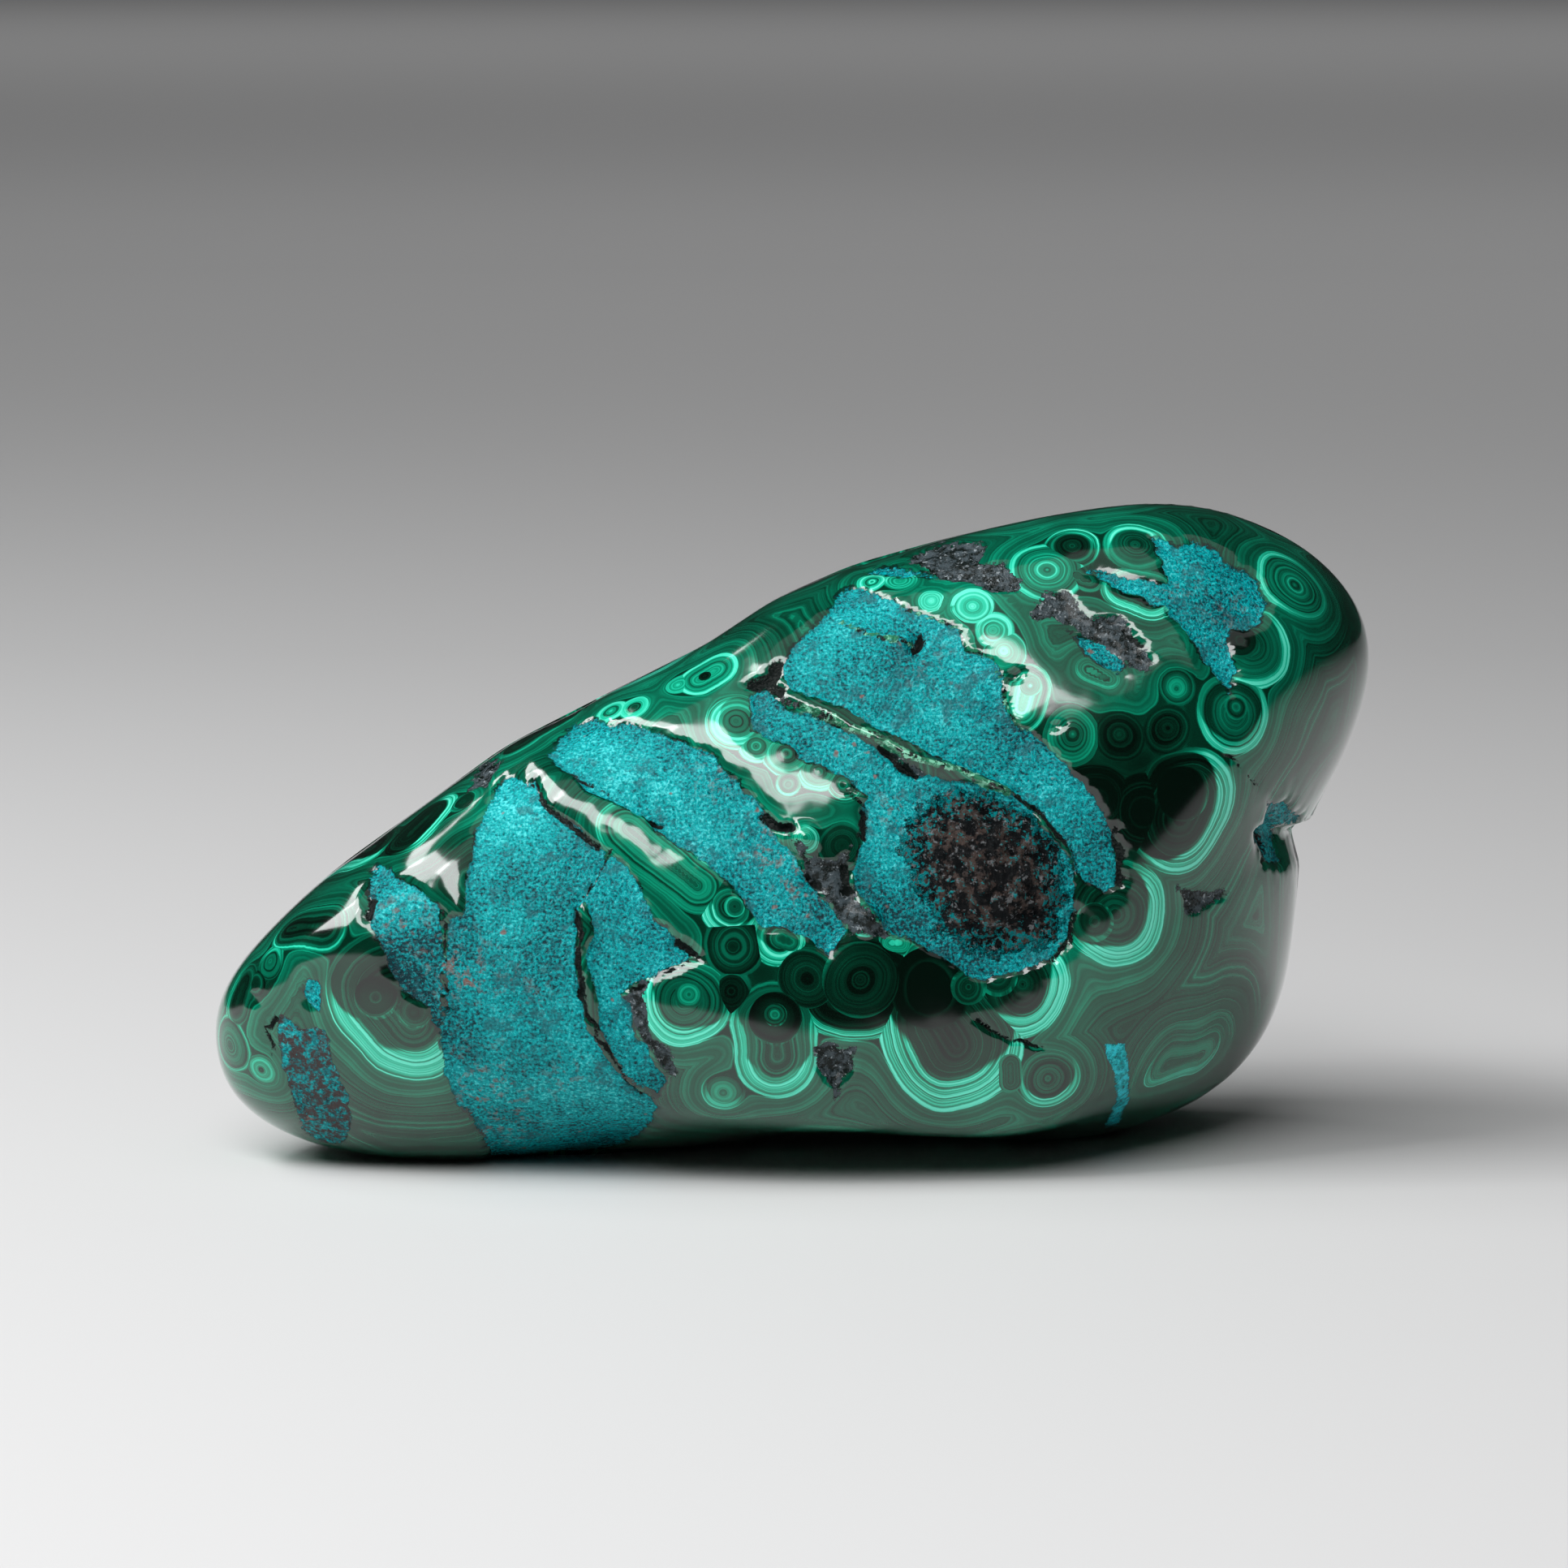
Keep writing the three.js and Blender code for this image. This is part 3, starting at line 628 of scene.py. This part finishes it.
def scatter(placed, cores):
    rng = np.random.default_rng(scatterSpec["seed"])
    low, high = scatterSpec["radiusMm"]
    for index in rng.integers(0, len(skin), scatterSpec["tries"]):
        radius = low + (high - low) * rng.random() ** 1.6
        tone = 0.12 + 0.4 * rng.random() ** 1.3
        rim = radius * scatterSpec["rimShare"] * rng.random() ** 1.5
        towards = rng.normal(size=3)
        towards *= (rng.random() < 0.75) / np.linalg.norm(towards)
        inner = rng.random(2)
        gaps = [np.linalg.norm(points[index] - (a + b) / 2) - (radius + r) * scatterSpec["overlap"]
                for a, b, r, *_ in placed]
        if frontIsDrawn[index] or min(gaps) < 0:
            continue
        placed.append((points[index], points[index], radius, tone, rim, towards))
        if inner[0] < 0.5:
            coreRadius = radius * scatterSpec["coreShare"]
            coreTone = 0.08 + 0.4 * inner[1]
            cores.append((points[index], points[index], coreRadius, coreTone, 0.1, np.zeros(3)))


nodules = placeNodules(frontNodules)
cores = placeNodules(frontCores)
scatter(nodules, cores)
print("nodules placed:", len(nodules), "and", len(cores), "inside them")


def layered(nodules, margin=0.6):  # overlapping nodules go in different layers, so that each edge stays sharp
    layers = []
    for number, nodule in sorted(enumerate(nodules), key=lambda pair: -pair[1][2]):
        first, last, radius = nodule[:3]
        centre, reach = (first + last) / 2, radius + np.linalg.norm(last - first) / 2
        for layer in layers:
            if all(np.linalg.norm(centre - c) > reach + r + margin for *_, c, r in layer):
                layer.append(nodule + (number, centre, reach))
                break
        else:
            layers.append([nodule + (number, centre, reach)])
    return layers


farSquareMm = 1600  # stands for no nodule near


def bandField(layer):  # the nearest nodule of a layer, at every point
    # The distance squared is kept less the place squared, because that difference is even over a face
    field = np.tile([0.0, 1.0, 0.3, 0.0], (len(points), 1))
    field[:, 0] = farSquareMm
    nearest = np.full(len(points), 1e9)
    for first, last, radius, tone, rim, towards, number, *_ in layer:
        edge = last - first
        t = np.clip((points - first) @ edge / max(edge @ edge, 1e-9), 0, 1)
        away = points - first - t[:, None] * edge
        reach = np.linalg.norm(away, axis=1)
        lit = np.ones(len(points))
        if towards.any():
            lit = 0.12 + 0.88 * smooth(-0.7, 0.85, away @ towards / np.maximum(reach, 0.1))
        nearer = reach - radius < nearest
        nearest[nearer] = (reach - radius)[nearer]
        field[nearer, 0] = (reach ** 2 - (points ** 2).sum(1))[nearer]
        field[nearer, 1] = radius
        field[nearer, 2] = number + tone
        field[nearer, 3] = (rim * lit)[nearer]
    return field


mainLayers = layered(nodules)
layers = mainLayers + layered(cores)
rims = np.zeros((len(points), 3 * math.ceil(len(layers) / 3)))
for index, layer in enumerate(layers):
    field = bandField(layer)
    store(f"bands{index}", field[:, :3])
    rims[:, index] = field[:, 3]
for index in range(0, len(layers), 3):
    store(f"rims{index // 3}", rims[:, index:index + 3])
store("marksA", np.stack([patch, matrix, crack], 1))
store("marksB", np.stack([dome, bright, brown], 1))
store("marksC", np.stack([ridge, toneAndSheen, rust], 1))
stone.data.update()
bpy.ops.object.select_all(action="DESELECT")
stone.select_set(True)
bpy.context.view_layer.objects.active = stone
bpy.ops.object.mode_set(mode="EDIT")
bpy.ops.mesh.select_all(action="SELECT")
bpy.ops.mesh.normals_make_consistent(inside=False)
bpy.ops.object.mode_set(mode="OBJECT")
bpy.ops.object.shade_smooth()
coreLayers = len(layers) - len(mainLayers)
print("stone shaped,", len(mainLayers), "layers of nodules and", coreLayers, "inside them")


# Small helpers that write a material's nodes as formulas
class Sheet:
    def __init__(self, tree):
        self.tree = tree

    def put(self, kind, inputs=None, **settings):
        made = self.tree.nodes.new(kind)
        for name, value in settings.items():
            setattr(made, name, value)
        for key, value in (inputs or {}).items():
            self.feed(value, made.inputs[key])
        return made

    def feed(self, value, socket):
        if isinstance(value, bpy.types.NodeSocket):
            self.tree.links.new(value, socket)
        else:
            socket.default_value = value

    def math(self, operation, a, b=0.0, c=0.0, clamp=False):
        made = self.put("ShaderNodeMath", {0: a, 1: b, 2: c}, operation=operation, use_clamp=clamp)
        return made.outputs[0]

    def step(self, value, low, high):  # 0 below low, 1 above high, smooth between
        made = self.put("ShaderNodeMapRange", {"Value": value, "From Min": low, "From Max": high},
                        interpolation_type="SMOOTHSTEP")
        return made.outputs["Result"]

    def noise(self, vector, scale, detail=2.0, roughness=0.5, dimensions="3D", w=0.0):
        inputs = {"Scale": scale, "Detail": detail, "Roughness": roughness}
        if dimensions == "1D":
            inputs["W"] = w
        else:
            inputs["Vector"] = vector
        return self.put("ShaderNodeTexNoise", inputs, noise_dimensions=dimensions).outputs["Fac"]

    def mix(self, share, a, b):
        made = self.put("ShaderNodeMix", data_type="RGBA")
        self.feed(share, made.inputs[0])
        self.feed(a, made.inputs[6])
        self.feed(b, made.inputs[7])
        return made.outputs[2]

    def blend(self, share, a, b):  # the same for plain numbers
        made = self.put("ShaderNodeMix", data_type="FLOAT")
        self.feed(share, made.inputs[0])
        self.feed(a, made.inputs[2])
        self.feed(b, made.inputs[3])
        return made.outputs[0]

    def ramp(self, share, stops):
        made = self.put("ShaderNodeValToRGB", {"Fac": share})
        elements = made.color_ramp.elements
        while len(elements) < len(stops):
            elements.new(0.5)
        for element, (place, colour) in zip(elements, stops):
            element.position = place
            element.color = (*colour, 1)
        return made.outputs["Color"]

    def split(self, vector):
        return self.put("ShaderNodeSeparateXYZ", {0: vector}).outputs

    def attribute(self, name):
        return self.put("ShaderNodeAttribute", attribute_name=name).outputs["Vector"]


def newGroup(name, inputs, outputs):
    tree = bpy.data.node_groups.new(name, "ShaderNodeTree")
    for socket, kind in inputs:
        tree.interface.new_socket(socket, in_out="INPUT", socket_type=kind)
    for socket, kind in outputs:
        tree.interface.new_socket(socket, in_out="OUTPUT", socket_type=kind)
    return tree, tree.nodes.new("NodeGroupInput"), tree.nodes.new("NodeGroupOutput")


malachiteSpec = {
    "tones": [  # darkness to brightness of the bands
        (0.0, (0.0003, 0.005, 0.0025)), (0.2, (0.0005, 0.034, 0.017)), (0.4, (0.001, 0.125, 0.068)),
        (0.6, (0.003, 0.31, 0.175)), (0.8, (0.022, 0.62, 0.40)), (1.0, (0.13, 0.88, 0.65)),
    ],
    "wobbleMm": 1.7,
    "flutterMm": 0.09,
    "coreFade": 0.025,  # an inside gets darker by this much per mm
    "fadeDepthMm": 4.0,  # down to this depth
    "rimTone": 0.8,
    "outerTone": 0.29,
    "mergeMm": 0.7,  # how softly the lines of neighbours run together
}


def bandedMalachite():  # colour of the banded malachite, from the distance past a nodule's rim
    tree, given, result = newGroup("bandedMalachite", [
        ("Place", "NodeSocketVector"), ("Past", "NodeSocketFloat"), ("Around", "NodeSocketFloat"),
        ("Numbered", "NodeSocketFloat"), ("Rim", "NodeSocketFloat"), ("ToneAndSheen", "NodeSocketFloat"),
    ], [("Color", "NodeSocketColor")])
    s = Sheet(tree)
    look = malachiteSpec
    place = given.outputs["Place"]
    past, around, numbered, rim = (given.outputs[name] for name in ("Past", "Around", "Numbered", "Rim"))

    def centred(value, gain):
        return s.math("MULTIPLY", s.math("SUBTRACT", value, 0.5), gain)

    wobble = s.math("ADD", centred(s.noise(place, 0.16, 1), look["wobbleMm"]),
                    centred(s.noise(place, 1.5, 1), look["flutterMm"]))
    past = s.math("ADD", past, wobble)
    around = s.math("ADD", around, wobble)
    inside = s.math("LESS_THAN", past, 0.0)
    tone = s.math("FRACT", numbered)
    run = s.blend(inside, around, s.math("MULTIPLY_ADD", s.math("FLOOR", numbered), 7.31, past))
    broad = s.noise(None, 0.95, 1, dimensions="1D", w=run)
    fine = s.noise(None, 3.1, 1, dimensions="1D", w=run)
    hair = s.noise(None, 8.5, 1, dimensions="1D", w=run)
    wave = s.math("ADD", s.math("ADD", centred(broad, 0.9), centred(fine, 0.8)), centred(hair, 0.4))
    insideWave = s.math("MULTIPLY", wave, s.math("MULTIPLY_ADD", tone, 1.2, 0.28))
    insideTone = s.math("MULTIPLY_ADD", s.math("MAXIMUM", past, -look["fadeDepthMm"]), look["coreFade"],
                        s.math("ADD", tone, insideWave))
    crossing = s.math("ABSOLUTE", s.math("SUBTRACT", s.noise(None, 0.8, 0, dimensions="1D", w=run), 0.5))
    lines = s.math("MULTIPLY", s.step(crossing, 0.05, 0.01), s.step(past, 3.0, 1.2))
    outer = s.math("MULTIPLY_ADD", wave, 0.5, look["outerTone"])
    outer = s.math("ADD", outer, s.math("MULTIPLY", lines, 0.17))
    body = s.blend(inside, outer, insideTone)
    rimStart = s.math("MULTIPLY", rim, -1.0)
    rimFull = s.math("MULTIPLY", rim, -0.72)
    rimShare = s.math("MULTIPLY", s.step(past, rimStart, rimFull), s.step(past, 0.16, 0.02))
    rimShare = s.math("MULTIPLY", rimShare, s.step(rim, 0.03, 0.3))
    rimTone = s.math("ADD", s.math("ADD", centred(fine, 1.4), centred(hair, 0.8)), look["rimTone"])
    rimTone = s.blend(s.step(rim, 0.15, 0.9), s.math("ADD", insideTone, 0.2), rimTone)
    total = s.blend(rimShare, body, rimTone)
    total = s.math("ADD", total, centred(s.noise(place, 0.16, 3), 0.35))
    # Changes of tone, with painted sheen where the spots lighten the malachite beside the chrysocolla
    total = s.math("ADD", total, given.outputs["ToneAndSheen"])
    total = s.math("ADD", total, centred(s.noise(place, 9.0, 2), 0.07), clamp=True)
    s.feed(s.ramp(total, look["tones"]), result.inputs["Color"])
    return tree


chrysocollaLook = {
    "grains": [  # darkness to brightness of the grains
        (0.28, (0.0, 0.03, 0.04)), (0.38, (0.0, 0.16, 0.18)), (0.48, (0.0, 0.31, 0.335)),
        (0.58, (0.002, 0.45, 0.48)), (0.74, (0.10, 0.76, 0.78)),
    ],
    "grey": (0.015, 0.12, 0.14),
    "spot": (0.24, 0.12, 0.10),
    "grainPerMm": 4.6,
    "fibrePerMm": 2.6,
    "brushing": (0.7, 1.0, 1.9),  # the fibres are drawn out across the small ones of these
}


def grainyChrysocolla():
    tree, given, result = newGroup("grainyChrysocolla", [
        ("Place", "NodeSocketVector"), ("Rust", "NodeSocketFloat"), ("ToneAndSheen", "NodeSocketFloat"),
    ], [("Color", "NodeSocketColor"), ("Height", "NodeSocketFloat")])
    s = Sheet(tree)
    place = given.outputs["Place"]
    look = chrysocollaLook
    cloud = s.noise(place, 0.2, 4, 0.6)
    grain = s.noise(place, look["grainPerMm"], 3, 0.6)
    brushed = s.put("ShaderNodeMapping", {"Vector": place, "Scale": look["brushing"]}).outputs[0]
    fibre = s.noise(brushed, look["fibrePerMm"], 3, 0.6)
    level = s.math("ADD", s.math("MULTIPLY_ADD", grain, 0.9, s.math("MULTIPLY", fibre, 0.35)),
                   s.math("MULTIPLY_ADD", cloud, 0.5, -0.412))
    # Painted sheen: the lightening spots brighten the grain where the light falls on it
    level = s.math("ADD", level, given.outputs["ToneAndSheen"])
    colour = s.ramp(level, look["grains"])
    greyish = s.math("MULTIPLY", s.step(s.noise(place, 0.45, 5, 0.75), 0.53, 0.63), 0.7)
    colour = s.mix(greyish, colour, (*look["grey"], 1))
    rusty = s.step(s.noise(place, 0.62, 2, 0.5), 0.70, 0.74)
    spread = s.math("MULTIPLY", given.outputs["Rust"], s.step(s.noise(place, 1.3, 4, 0.7), 0.52, 0.62))
    rusty = s.math("ADD", s.math("MULTIPLY", rusty, 0.8), s.math("MULTIPLY", spread, 0.9), clamp=True)
    colour = s.mix(rusty, colour, (*look["spot"], 1))
    s.feed(colour, result.inputs["Color"])
    height = s.math("ADD", s.math("MULTIPLY", grain, 0.7), s.math("MULTIPLY", fibre, 0.3))
    s.feed(height, result.inputs["Height"])
    return tree


domeLook = {
    "black": (0.003, 0.004, 0.005),
    "brown": (0.085, 0.06, 0.052),
    "grey": (0.20, 0.21, 0.22),
    "teal": (0.0, 0.26, 0.28),
}


def grainyDome():
    tree, given, result = newGroup("grainyDome", [
        ("Place", "NodeSocketVector"), ("Depth", "NodeSocketFloat"),
    ], [("Color", "NodeSocketColor"), ("Height", "NodeSocketFloat")])
    s = Sheet(tree)
    place, depth = given.outputs["Place"], given.outputs["Depth"]
    coarse = s.noise(place, 0.9, 4, 0.7)
    grain = s.noise(place, 2.4, 4, 0.75)
    colour = s.mix(s.step(coarse, 0.47, 0.6), (*domeLook["black"], 1), (*domeLook["brown"], 1))
    colour = s.mix(s.step(s.noise(place, 1.7, 4, 0.7), 0.57, 0.64), colour, (*domeLook["grey"], 1))
    across = s.math("ADD", grain, s.math("MULTIPLY", s.math("SUBTRACT", coarse, 0.5), 0.5))
    flecks = s.step(s.math("ADD", across, s.math("MULTIPLY", s.step(depth, 3.0, 0.0), 0.14)), 0.61, 0.67)
    colour = s.mix(flecks, colour, (*domeLook["teal"], 1))
    s.feed(colour, result.inputs["Color"])
    s.feed(s.math("MULTIPLY", s.math("ADD", grain, coarse), 2.6), result.inputs["Height"])
    return tree


stoneLook = {
    "polishIor": 1.61,
    "polishRoughness": 0.1,
    "grainIor": 1.27,  # under the polish, and alone on the rough parts
    "grainRoughness": 0.12,
    "grainDepthMm": 0.28,
    "polishLoss": 1.25,  # the half rough matrix loses nearly all of its polish too
    "shadowMm": 0.16,  # width of the dark line round the patches
    "matrix": (0.055, 0.075, 0.085),
    "matrixFleck": (0.26, 0.30, 0.32),
    "crack": (0.002, 0.006, 0.005),
    "ridge": (0.02, 0.20, 0.10),
    "ridgeFleck": (0.20, 0.60, 0.40),
    "bright": (0.03, 0.68, 0.78),
    "brown": (0.06, 0.045, 0.045),
}


def stoneMaterial():
    material = bpy.data.materials.new("polishedMalachite")
    material.use_nodes = True
    tree = material.node_tree
    tree.nodes.clear()
    s = Sheet(tree)
    look = stoneLook
    coordinates = s.put("ShaderNodeTexCoord").outputs["Object"]
    place = s.put("ShaderNodeVectorMath", {0: coordinates, 3: 1 / mm}, operation="SCALE").outputs[0]

    square = s.put("ShaderNodeVectorMath", {0: place, 1: place}, operation="DOT_PRODUCT").outputs["Value"]
    nearest = None
    merged = 0.0
    for index in range(len(layers)):
        gap, radius, numbered = s.split(s.attribute(f"bands{index}"))
        rim = s.split(s.attribute(f"rims{index // 3}"))[index % 3]
        reach = s.math("SQRT", s.math("MAXIMUM", s.math("ADD", gap, square), 0.0))
        found = [s.math("SUBTRACT", reach, radius), numbered, rim]
        isCore = index >= len(mainLayers)
        if not isCore:
            softly = s.math("DIVIDE", found[0], -malachiteSpec["mergeMm"])
            merged = s.math("ADD", merged, s.math("EXPONENT", s.math("MINIMUM", softly, 12.0)))
        if nearest:
            nearer = s.math("LESS_THAN", found[0], 0.0 if isCore else nearest[0])
            found = [s.blend(nearer, old, new) for old, new in zip(nearest, found)]
        nearest = found
    around = s.math("LOGARITHM", s.math("MAXIMUM", merged, 1e-9), math.e)
    around = s.math("MULTIPLY", around, -malachiteSpec["mergeMm"])
    patchDepth, matrixDepth, crackDepth = s.split(s.attribute("marksA"))
    domeDepth, brightDepth, brownDepth = s.split(s.attribute("marksB"))
    ridgeDepth, toneAndSheenValue, rustShare = s.split(s.attribute("marksC"))

    jitter = s.math("MULTIPLY", s.math("SUBTRACT", s.noise(place, 2.8, 4, 0.65), 0.5), 0.6)

    def edge(depth, width=0.05):
        return s.step(s.math("ADD", depth, jitter), -width, width)

    malachite = s.put("ShaderNodeGroup", node_tree=bandedMalachite())
    s.feed(place, malachite.inputs["Place"])
    for name, value in zip(("Past", "Numbered", "Rim", "Around"), (*nearest, around)):
        s.feed(value, malachite.inputs[name])
    s.feed(toneAndSheenValue, malachite.inputs["ToneAndSheen"])
    chrysocolla = s.put("ShaderNodeGroup", node_tree=grainyChrysocolla())
    s.feed(place, chrysocolla.inputs["Place"])
    s.feed(rustShare, chrysocolla.inputs["Rust"])
    s.feed(toneAndSheenValue, chrysocolla.inputs["ToneAndSheen"])
    domeGroup = s.put("ShaderNodeGroup", node_tree=grainyDome())
    s.feed(place, domeGroup.inputs["Place"])
    s.feed(domeDepth, domeGroup.inputs["Depth"])

    ragged = s.math("MULTIPLY", s.math("SUBTRACT", s.noise(place, 0.8, 4, 0.75), 0.5), 5.0)
    isPatch = edge(patchDepth)
    isDome = edge(s.math("ADD", domeDepth, ragged), 0.3)
    isMatrix = edge(s.math("ADD", matrixDepth, s.math("MULTIPLY", ragged, 0.3)))
    isBrown = edge(brownDepth)
    isBright = edge(brightDepth)
    isRidge = edge(ridgeDepth)
    isCrack = edge(crackDepth)
    mottled = s.step(s.noise(place, 1.6, 4, 0.7), 0.42, 0.6)

    colour = malachite.outputs["Color"]
    broken = s.step(s.noise(place, 0.7, 2), 0.4, 0.6)
    shadow = s.math("MULTIPLY", edge(s.math("ADD", patchDepth, look["shadowMm"])), broken)
    colour = s.mix(s.math("MULTIPLY", shadow, 0.85), colour, (*look["crack"], 1))
    slate = s.mix(mottled, (*look["crack"], 1), (*look["matrix"], 1))
    slate = s.mix(s.step(s.noise(place, 2.3, 3, 0.7), 0.58, 0.68), slate, (*look["matrixFleck"], 1))
    colour = s.mix(isMatrix, colour, slate)
    colour = s.mix(isBrown, colour, s.mix(mottled, (*look["brown"], 1), chrysocolla.outputs["Color"]))
    colour = s.mix(isPatch, colour, chrysocolla.outputs["Color"])
    colour = s.mix(isDome, colour, domeGroup.outputs["Color"])
    colour = s.mix(isBright, colour, s.mix(mottled, chrysocolla.outputs["Color"], (*look["bright"], 1)))
    colour = s.mix(isCrack, colour, (*look["crack"], 1))
    blocks = s.step(s.noise(place, 1.1, 2, 0.6), 0.42, 0.55)
    ridgeColour = s.mix(blocks, (*look["crack"], 1), (*look["ridge"], 1))
    flecks = s.step(s.noise(place, 1.9, 3, 0.6), 0.53, 0.62)
    ridgeColour = s.mix(flecks, ridgeColour, (*look["ridgeFleck"], 1))
    colour = s.mix(isRidge, colour, ridgeColour)

    rough = s.math("MAXIMUM", s.math("MAXIMUM", isPatch, isDome), s.math("MAXIMUM", isBrown, isCrack))
    rough = s.math("MAXIMUM", rough, s.math("MULTIPLY", s.math("MAXIMUM", isMatrix, isBright), 0.7))
    polish = s.math("MULTIPLY_ADD", rough, -look["polishLoss"], 1.0, clamp=True)
    grains = s.math("MULTIPLY_ADD", domeGroup.outputs["Height"], isDome, chrysocolla.outputs["Height"])
    bump = s.put("ShaderNodeBump", {"Height": s.math("MULTIPLY", grains, rough), "Strength": 1.0,
                                    "Distance": look["grainDepthMm"] * mm})
    shader = s.put("ShaderNodeBsdfPrincipled", {"Base Color": colour, "Coat Weight": polish,
                                                "Normal": bump.outputs["Normal"]})
    shader.inputs["IOR"].default_value = look["grainIor"]
    shader.inputs["Roughness"].default_value = look["grainRoughness"]
    shader.inputs["Coat IOR"].default_value = look["polishIor"]
    shader.inputs["Coat Roughness"].default_value = look["polishRoughness"]
    output = s.put("ShaderNodeOutputMaterial")
    tree.links.new(shader.outputs["BSDF"], output.inputs["Surface"])
    return material


stone.data.materials.clear()
stone.data.materials.append(stoneMaterial())
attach(stone, "root")
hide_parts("stone")
print("stone finished")

# Pale floor that runs far behind the stone
floorSpec = {"sizeM": 16.0, "colour": (0.67, 0.67, 0.672), "roughness": 0.6, "specular": 0.2}


def makeFloor():
    bpy.ops.object.select_all(action="DESELECT")
    bpy.ops.mesh.primitive_plane_add(size=floorSpec["sizeM"], location=(0, 0, 0))
    floor = bpy.context.object
    floor.name = "floor"
    material = bpy.data.materials.new("paleFloor")
    material.use_nodes = True
    shader = material.node_tree.nodes["Principled BSDF"]
    shader.inputs["Base Color"].default_value = (*floorSpec["colour"], 1)
    shader.inputs["Roughness"].default_value = floorSpec["roughness"]
    shader.inputs["Specular IOR Level"].default_value = floorSpec["specular"]
    floor.data.materials.append(material)


# Lamps: where each stands and what it points at in metres, its size in metres and its power in watts
lightSpec = {
    "key": {"at": (-0.44, -0.14, 0.52), "to": (0, 0, 0.02), "size": (0.38, 0.38), "power": 3.8},
    "card": {"at": (-0.148, -0.449, 0.537), "to": (0, 0, 0.02), "size": (0.58, 0.22), "power": 2.9,
             "rollDeg": -32.6},
    "rear": {"at": (-0.423, 0.154, 0.556), "to": (0, 0, 0.02), "size": (0.32, 0.11), "power": 0.75},
    "panel": {"at": (0.02, -0.36, 0.72), "to": (0.0, -0.3, 0.02), "size": (1.0, 0.75), "power": 0.9},
    "backNear": {"at": (0, 0.35, 0.6), "to": (0, 1.6, 0.1), "size": (1.2, 0.3), "power": 0.55},
    "backMiddle": {"at": (0, 0.9, 1.2), "to": (0, 3, 0.2), "size": (2.0, 0.5), "power": 9.4},
    "backFar": {"at": (0, 3, 3), "to": (0, 8, 0), "size": (6.0, 1.0), "power": 62.0},
}
worldColour = (0.012, 0.012, 0.0125)


def makeLight(name, spec):
    data = bpy.data.lights.new(name, "AREA")
    data.shape = "RECTANGLE"
    data.size, data.size_y = spec["size"]
    data.energy = spec["power"]
    lamp = bpy.data.objects.new(name, data)
    bpy.context.collection.objects.link(lamp)
    lamp.location = spec["at"]
    aim = (Vector(spec["to"]) - lamp.location).to_track_quat("-Z", "Y")
    lamp.rotation_euler = (aim @ Quaternion((0, 0, 1), math.radians(spec.get("rollDeg", 0)))).to_euler()


def makeCamera():
    data = bpy.data.cameras.new("camera")
    data.sensor_width = cameraSpec["sensorMm"]
    data.lens = focalPx * cameraSpec["sensorMm"] / cameraSpec["imagePx"]
    camera = bpy.data.objects.new("camera", data)
    bpy.context.collection.objects.link(camera)
    camera.location = Vector((eyeMm + shiftMm) * mm)
    camera.rotation_euler = Vector(sightDir).to_track_quat("-Z", "Y").to_euler()
    bpy.context.scene.camera = camera


makeFloor()
for name, spec in lightSpec.items():
    makeLight(name, spec)
world = bpy.data.worlds.new("studio")
world.use_nodes = True
world.node_tree.nodes["Background"].inputs["Color"].default_value = (*worldColour, 1)
bpy.context.scene.world = world
bpy.context.scene.view_settings.view_transform = "Standard"
makeCamera()
print("studio set")
